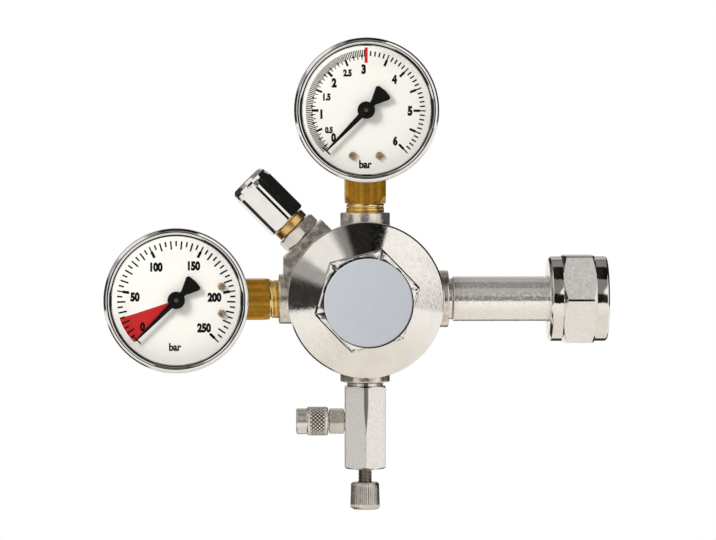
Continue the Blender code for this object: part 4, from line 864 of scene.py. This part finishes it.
adapter = hex_bar(8.2, 7.3, 12.6, 24, 3.9, 3.9)
barb = lathe([(0, 4.6), (3.0, 4.6), (3.0, 17.6), (1.7, 17.6), (1.7, 18.9), (2.0, 18.9), (1.7, 20.4), (0.8, 20.4),
              (0.8, 18.0), (0, 18.0)], 48, 0.05)
show("outlet_hexagon", [adapter, barb], DULL, OUTLET, "regulator", "chrome", "outlet_adapter", edge=0.1, angle=24)
NUT_KNURL_LOW, NUT_KNURL_HIGH, NUT_NOSE = 13.3, 19.9, 23.9
sides = 22 * 10
hose_rings = [plain_ring(3.35, 17.9, sides), plain_ring(3.35, 12.9, sides), plain_ring(4.5, 12.9, sides),
              plain_ring(4.7, 13.05, sides)]
hose_rings += knurled(NUT_KNURL_LOW, NUT_KNURL_HIGH, lambda level: 5.0, 0.5, 22, 0.72, sides, 54, True, 0.5)
hose_rings += [plain_ring(4.6, 20.15, sides)]
hose_rings += [plain_ring(4.5 - 0.05 * (k % 2), 20.3 + 0.16 * k, sides) for k in range(21)]
hose_rings += [plain_ring(4.38, 23.78, sides), plain_ring(4.05, NUT_NOSE, sides), plain_ring(3.3, NUT_NOSE, sides),
               plain_ring(3.2, 23.8, sides), plain_ring(3.2, 18.2, sides)]
# The faces in the knurl's valleys take the near-black finish: painted shade.
show("hose_nut_knurl", skin(hose_rings, False, False, loop=True), TURNED, OUTLET, "hose_nut", "satin_nickel",
     "hose_nut", angle=50, second=KNURL_SHADE,
     where=lambda middle, normal: 13.2 < middle.z < 20.0 and 4.4 < math.hypot(middle.x, middle.y) < 4.78)
print("knob with", RIDGES, "ridges")

# %% [markdown]
# Each gauge has a pressed case, a rolled bezel, a white dial, a scale, a pointer with a fan-shaped tail, two brass
# screws and a square brass shank. Its face is drawn upright, as it is read; the shank may leave in any direction.
# The bezel's two rolled beads draw the fine light and dark circles; a black ring in its groove and two black dashes at
# its crimps are painted shade and reflection.

# %% What a gauge is made of
DIAL_FACE, PRINT = 8.2, 0.03


def needle_outline():
    """The pointer seen from above, pointing along X: a tapered needle and a fan tail with round corners."""
    points = [(19.8, -0.27), (20.0, 0.0), (19.8, 0.27), (2.6, 0.95), (-2.4, 1.0), (-3.7, 1.1)]
    for side, first in ((1, 75), (-1, 190)):
        for k in range(9):
            a = math.radians(first + 95 * k / 8)
            points.append((-8.15 + 1.0 * math.cos(a), side * 2.15 + 1.0 * math.sin(a)))
        if side > 0:
            points.append((-9.4, 0.0))
    return points + [(-3.7, -1.1), (-2.4, -1.0), (2.6, -0.95)]


def mark(angle, inner, outer, wide, thick=PRINT):
    """A straight mark on a dial, from one radius to another."""
    a = math.radians(angle)
    out, aside = Vector((math.cos(a), math.sin(a))), Vector((-math.sin(a), math.cos(a)))
    corners = [out * inner - aside * wide / 2, out * outer - aside * wide / 2, out * outer + aside * wide / 2,
               out * inner + aside * wide / 2]
    return prism([tuple(c) for c in corners], DIAL_FACE, DIAL_FACE + thick)


def words(text, x, y, high, squeeze=0.78, bold=0.07):
    """Figures or letters in the plane of the dial, a given height, narrowed and made bold."""
    curve = bpy.data.curves.new("words", "FONT")
    curve.body = text
    curve.offset = bold
    curve.resolution_u = 4
    shown = bpy.data.objects.new("words", curve)
    bpy.context.collection.objects.link(shown)
    flat = bpy.data.meshes.new_from_object(shown.evaluated_get(bpy.context.evaluated_depsgraph_get()))
    bm = bmesh.new()
    bm.from_mesh(flat)
    bpy.data.objects.remove(shown)
    bpy.data.curves.remove(curve)
    bpy.data.meshes.remove(flat)
    xs, ys = [v.co.x for v in bm.verts], [v.co.y for v in bm.verts]
    grow = high / (max(ys) - min(ys))
    for vertex in bm.verts:
        vertex.co = ((vertex.co.x - (min(xs) + max(xs)) / 2) * grow * squeeze + x,
                     (vertex.co.y - (min(ys) + max(ys)) / 2) * grow + y, DIAL_FACE + PRINT)
    return bm


def gauge(prefix, face, shank_turn, zero, prints, reds):
    """One gauge. Its face is read upright in the plane of the face axis; its shank leaves at shank_turn degrees."""
    turned = face @ Matrix.Rotation(math.radians(shank_turn + 90), 4, "Z")
    shank = turned @ Matrix.Rotation(math.radians(90), 4, "X")
    case = [(0, -11.0), (22.2, -11.0), (23.4, -10.7), (23.9, -10.0), (24.0, -9.0), (24.0, 12.1), (23.1, 12.1),
            (23.1, -9.4), (0, -9.4)]
    cup = show(prefix + "cup", lathe(case, 160, 0.35), CHROME, turned, "regulator", "chrome", prefix + "case")
    cup.visible_shadow = False
    bezel = [(24.3, 9.7), (24.75, 9.6), (24.95, 9.8), (24.95, 14.6), (24.9, 14.9), (24.75, 15.12), (24.5, 15.3)]
    for k in range(9):
        a = math.radians(24 - 38 * k / 8)
        bezel.append((23.6 + 1.4 * math.sin(a), 14.3 + 1.4 * math.cos(a)))
    bezel += [(22.95, 15.38), (22.82, 15.1), (22.72, 14.75), (22.6, 14.6), (22.42, 14.68), (22.25, 14.85),
              (22.1, 14.78), (22.05, 14.6), (22.05, 14.3), (24.3, 14.3)]
    rim = show(prefix + "bezel_ring", lathe(bezel, 200, 0, loop=True), CHROME, turned, "regulator", "chrome",
               prefix + "bezel", angle=60)
    rim.visible_shadow = False
    # A black ring in the bezel's groove and two black dashes at its crimps: painted shade and painted dark reflection.
    groove_painted_shade = lathe([(22.32, 14.5), (22.76, 14.5), (22.76, 14.88), (22.32, 14.88)], 160, 0, loop=True)
    painted_shade_parts = [groove_painted_shade]
    for side in (-1, 1):
        painted_shade_parts.append(moved(box((-1.7, -0.3, 14.7), (1.7, 0.3, 14.98)), y=side * 22.35))
    show(prefix + "bezel_painted_shade", painted_shade_parts, BLACK, turned, "regulator", "chrome")
    show(prefix + "scale", prints, INK, face, "regulator", "dial_white")
    show(prefix + "red_marks", reds, RED, face, "regulator", "dial_white")
    pin = face @ Matrix.Rotation(math.radians(zero), 4, "Z")
    hub = lathe([(0, 9.6), (3.0, 9.6), (3.0, 11.0), (2.6, 11.35), (0.95, 11.4), (0.9, 11.15), (0, 11.15)], 96, 0.12)
    show(prefix + "needle", [prism(needle_outline(), 9.8, 10.25), hub], BLACK, pin, prefix + "pointer",
         "pointer_black", prefix + "pointer", edge=0.06)
    tip = lathe([(0, 10.6), (0.6, 10.6), (0.6, 11.35), (0.5, 11.42), (0, 11.42)], 48, 0.08)
    show(prefix + "arbor_end", tip, STEEL, pin, prefix + "pointer", "brass")
    for name, x in (("left", -4.6), ("right", 4.6)):
        head = []
        for a, b in ((0.28, 1.0), (-1.0, -0.28)):
            head.append(half_disc(1.3, 8.5, 9.3, a, b))
        head.append(lathe([(0, 7.8), (0.7, 7.8), (0.7, 8.5), (1.3, 8.5), (1.3, 8.65), (0, 8.65)], 48, 0.04))
        place = turned @ Matrix.Translation(Vector((x, -15.7, 0)) * MM) @ Matrix.Rotation(0.8 + x, 4, "Z")
        show(prefix + "screw_head_" + name, head, SCREW_BRASS, place, "regulator", "brass",
             prefix + "dial_screw_" + name, edge=0.08)
    socket_parts = []
    side = 7.0
    radius_at, angles = square_radius(2 * side, 0.9)
    top = 32.3
    rings = [polar(radius_at, lambda a: 20.0, angles),
             polar(radius_at, lambda a: top - max(radius_at(a) - 7.15, 0.02) * 1.2, angles),
             polar(lambda a: min(radius_at(a), 7.15), lambda a: top, angles)]
    socket_parts.append(skin(rings))
    socket_parts.append(box((-side, -6.0, 13.0), (side, 6.0, 20.5)))
    socket_parts.append(lathe([(0, 32.0), (6.0, 32.0), (6.0, 33.6), (6.55, 34.0), (6.55, 42.9), (0, 42.9)], 96, 0.1))
    show(prefix + "shank", socket_parts, BRASS, shank, "regulator", "brass", prefix + "socket", edge=0.12, angle=24)
    neck = [thread(6.25, 6.6, 1.337, 32.4, 37.0, 80)]
    show(prefix + "shank_thread", neck, TURNED_BRASS, shank, "regulator", "brass", angle=60)


def half_disc(radius, low, high, start, stop):
    """A slice of a round screw head on one side of its slot, between two heights across."""
    points = []
    edge = math.asin(abs(start if start > 0 else stop) * 0.9)
    for k in range(25):
        a = edge + (math.pi - 2 * edge) * k / 24
        points.append((radius * math.cos(a), radius * math.sin(a) * (1 if start > 0 else -1)))
    if start < 0:
        points.reverse()
    return prism(points, low, high)


def square_radius(width, corner):
    """The radius of a square bar with cut corners at an angle, and the angles to draw it at."""
    flat = width / 2
    cut = (2 * flat - corner) / math.sqrt(2)

    def radius_at(angle):
        off_flat = (angle + math.pi / 4) % (math.pi / 2) - math.pi / 4
        off_corner = math.pi / 4 - abs(off_flat)
        return min(flat / math.cos(off_flat), cut / math.cos(off_corner))

    edge = math.atan((flat - corner) / flat)
    one = [edge * t for t in (-1, -0.98, -0.7, -0.35, 0, 0.35, 0.7, 0.98, 1)]
    one += [edge + (math.pi / 2 - 2 * edge) * t for t in (0.02, 0.5, 0.98)]
    return radius_at, [math.pi / 2 * k + a for k in range(4) for a in one]


# %% [markdown]
# The scales are laid out by pressure. The contents gauge on the left reads 0 to 250 bar over three quarters of a turn,
# with a red field for an empty bottle. The outlet gauge on top reads 0 to 6 bar, has a fine scale up to 3 bar, and
# a red mark there.

# %% The contents gauge, 0 to 250 bar
high_prints, high_reds = [], []
for pressure in range(0, 255, 5):
    angle = 225 - 1.08 * pressure
    if pressure % 50 == 0 and pressure:
        high_prints += [mark(angle, 16.4, 18.7, 0.95), mark(angle, 18.7, 20.6, 0.5)]
    elif pressure:
        high_prints.append(mark(angle, 17.5 if pressure % 10 == 0 else 18.6, 20.4, 0.55, 2 * PRINT))
for text, x, y in (("0", -11.6, -9.2), ("50", -14.2, 1.1), ("100", -6.8, 11.4), ("150", 6.15, 11.8),
                   ("200", 13.2, 0.95), ("250", 9.6, -9.6)):
    high_prints.append(words(text, x, y, 3.3))
high_prints.append(words("bar", -0.4, -16.2, 2.8, 0.86, 0.04))
zero_bar = moved(box((-0.25, -1.9, DIAL_FACE), (0.25, 1.9, DIAL_FACE + PRINT)), x=19.3)
bmesh.ops.rotate(zero_bar, matrix=Matrix.Rotation(math.radians(225), 3, "Z"), verts=zero_bar.verts)
high_prints.append(zero_bar)
field = [(0.0, 0.0)] + [(20.5 * math.cos(math.radians(a)), 20.5 * math.sin(math.radians(a)))
                        for a in range(198, 226, 3)]
high_reds.append(prism(field, DIAL_FACE, DIAL_FACE + PRINT / 2))
gauge("high_", HIGH_GAUGE, 0, 225, high_prints, high_reds)

# %% The outlet gauge, 0 to 6 bar
PER_BAR, LOW_ZERO = 45.28, 225.7
low_prints, low_reds = [], []
for step in range(1, 75):
    low_prints.append(mark(LOW_ZERO - PER_BAR * step / 25, 18.4, 20.8, 0.34))
for tenth in range(1, 61):
    angle = LOW_ZERO - PER_BAR * tenth / 10
    if tenth == 30:
        low_reds.append(mark(angle, 16.3, 21.6, 1.05))
    elif tenth % 5 == 0:
        low_prints.append(mark(angle, 16.4, 18.6, 0.85 if tenth % 10 == 0 or tenth > 30 else 0.75))
        if tenth > 30:
            low_prints.append(mark(angle, 18.6, 20.6, 0.45))
    else:
        low_prints.append(mark(angle, 17.5 if tenth < 30 else 18.7, 19.0 if tenth < 30 else 20.4,
                               0.34 if tenth < 30 else 0.52))
for text, x, y, high in (("0", -11.2, -9.5, 2.9), ("0.5", -12.8, -6.9, 2.1), ("1", -15.4, -1.4, 3.0),
                         ("1.5", -13.5, 4.5, 2.3), ("2", -11.0, 9.4, 3.0), ("2.5", -6.4, 12.8, 2.3),
                         ("3", -0.8, 14.1, 3.1), ("4", 9.8, 10.6, 2.9), ("5", 15.2, -0.3, 3.1), ("6", 10.1, -10.6, 3.0)):
    low_prints.append(words(text, x, y, 1.1 * high))
low_prints.append(words("bar", -0.2, -18.7, 2.9, 0.86, 0.04))
zero_bar = moved(box((-0.25, -1.9, DIAL_FACE), (0.25, 1.9, DIAL_FACE + PRINT)), x=19.6)
bmesh.ops.rotate(zero_bar, matrix=Matrix.Rotation(math.radians(LOW_ZERO), 3, "Z"), verts=zero_bar.verts)
low_prints.append(zero_bar)
gauge("low_", LOW_GAUGE, -90, LOW_ZERO, low_prints, low_reds)
for thing in bpy.data.objects:
    if thing.name.startswith(("low_", "high_")):
        thing.visible_glossy = False
print("pieces made:", len(made_so_far))
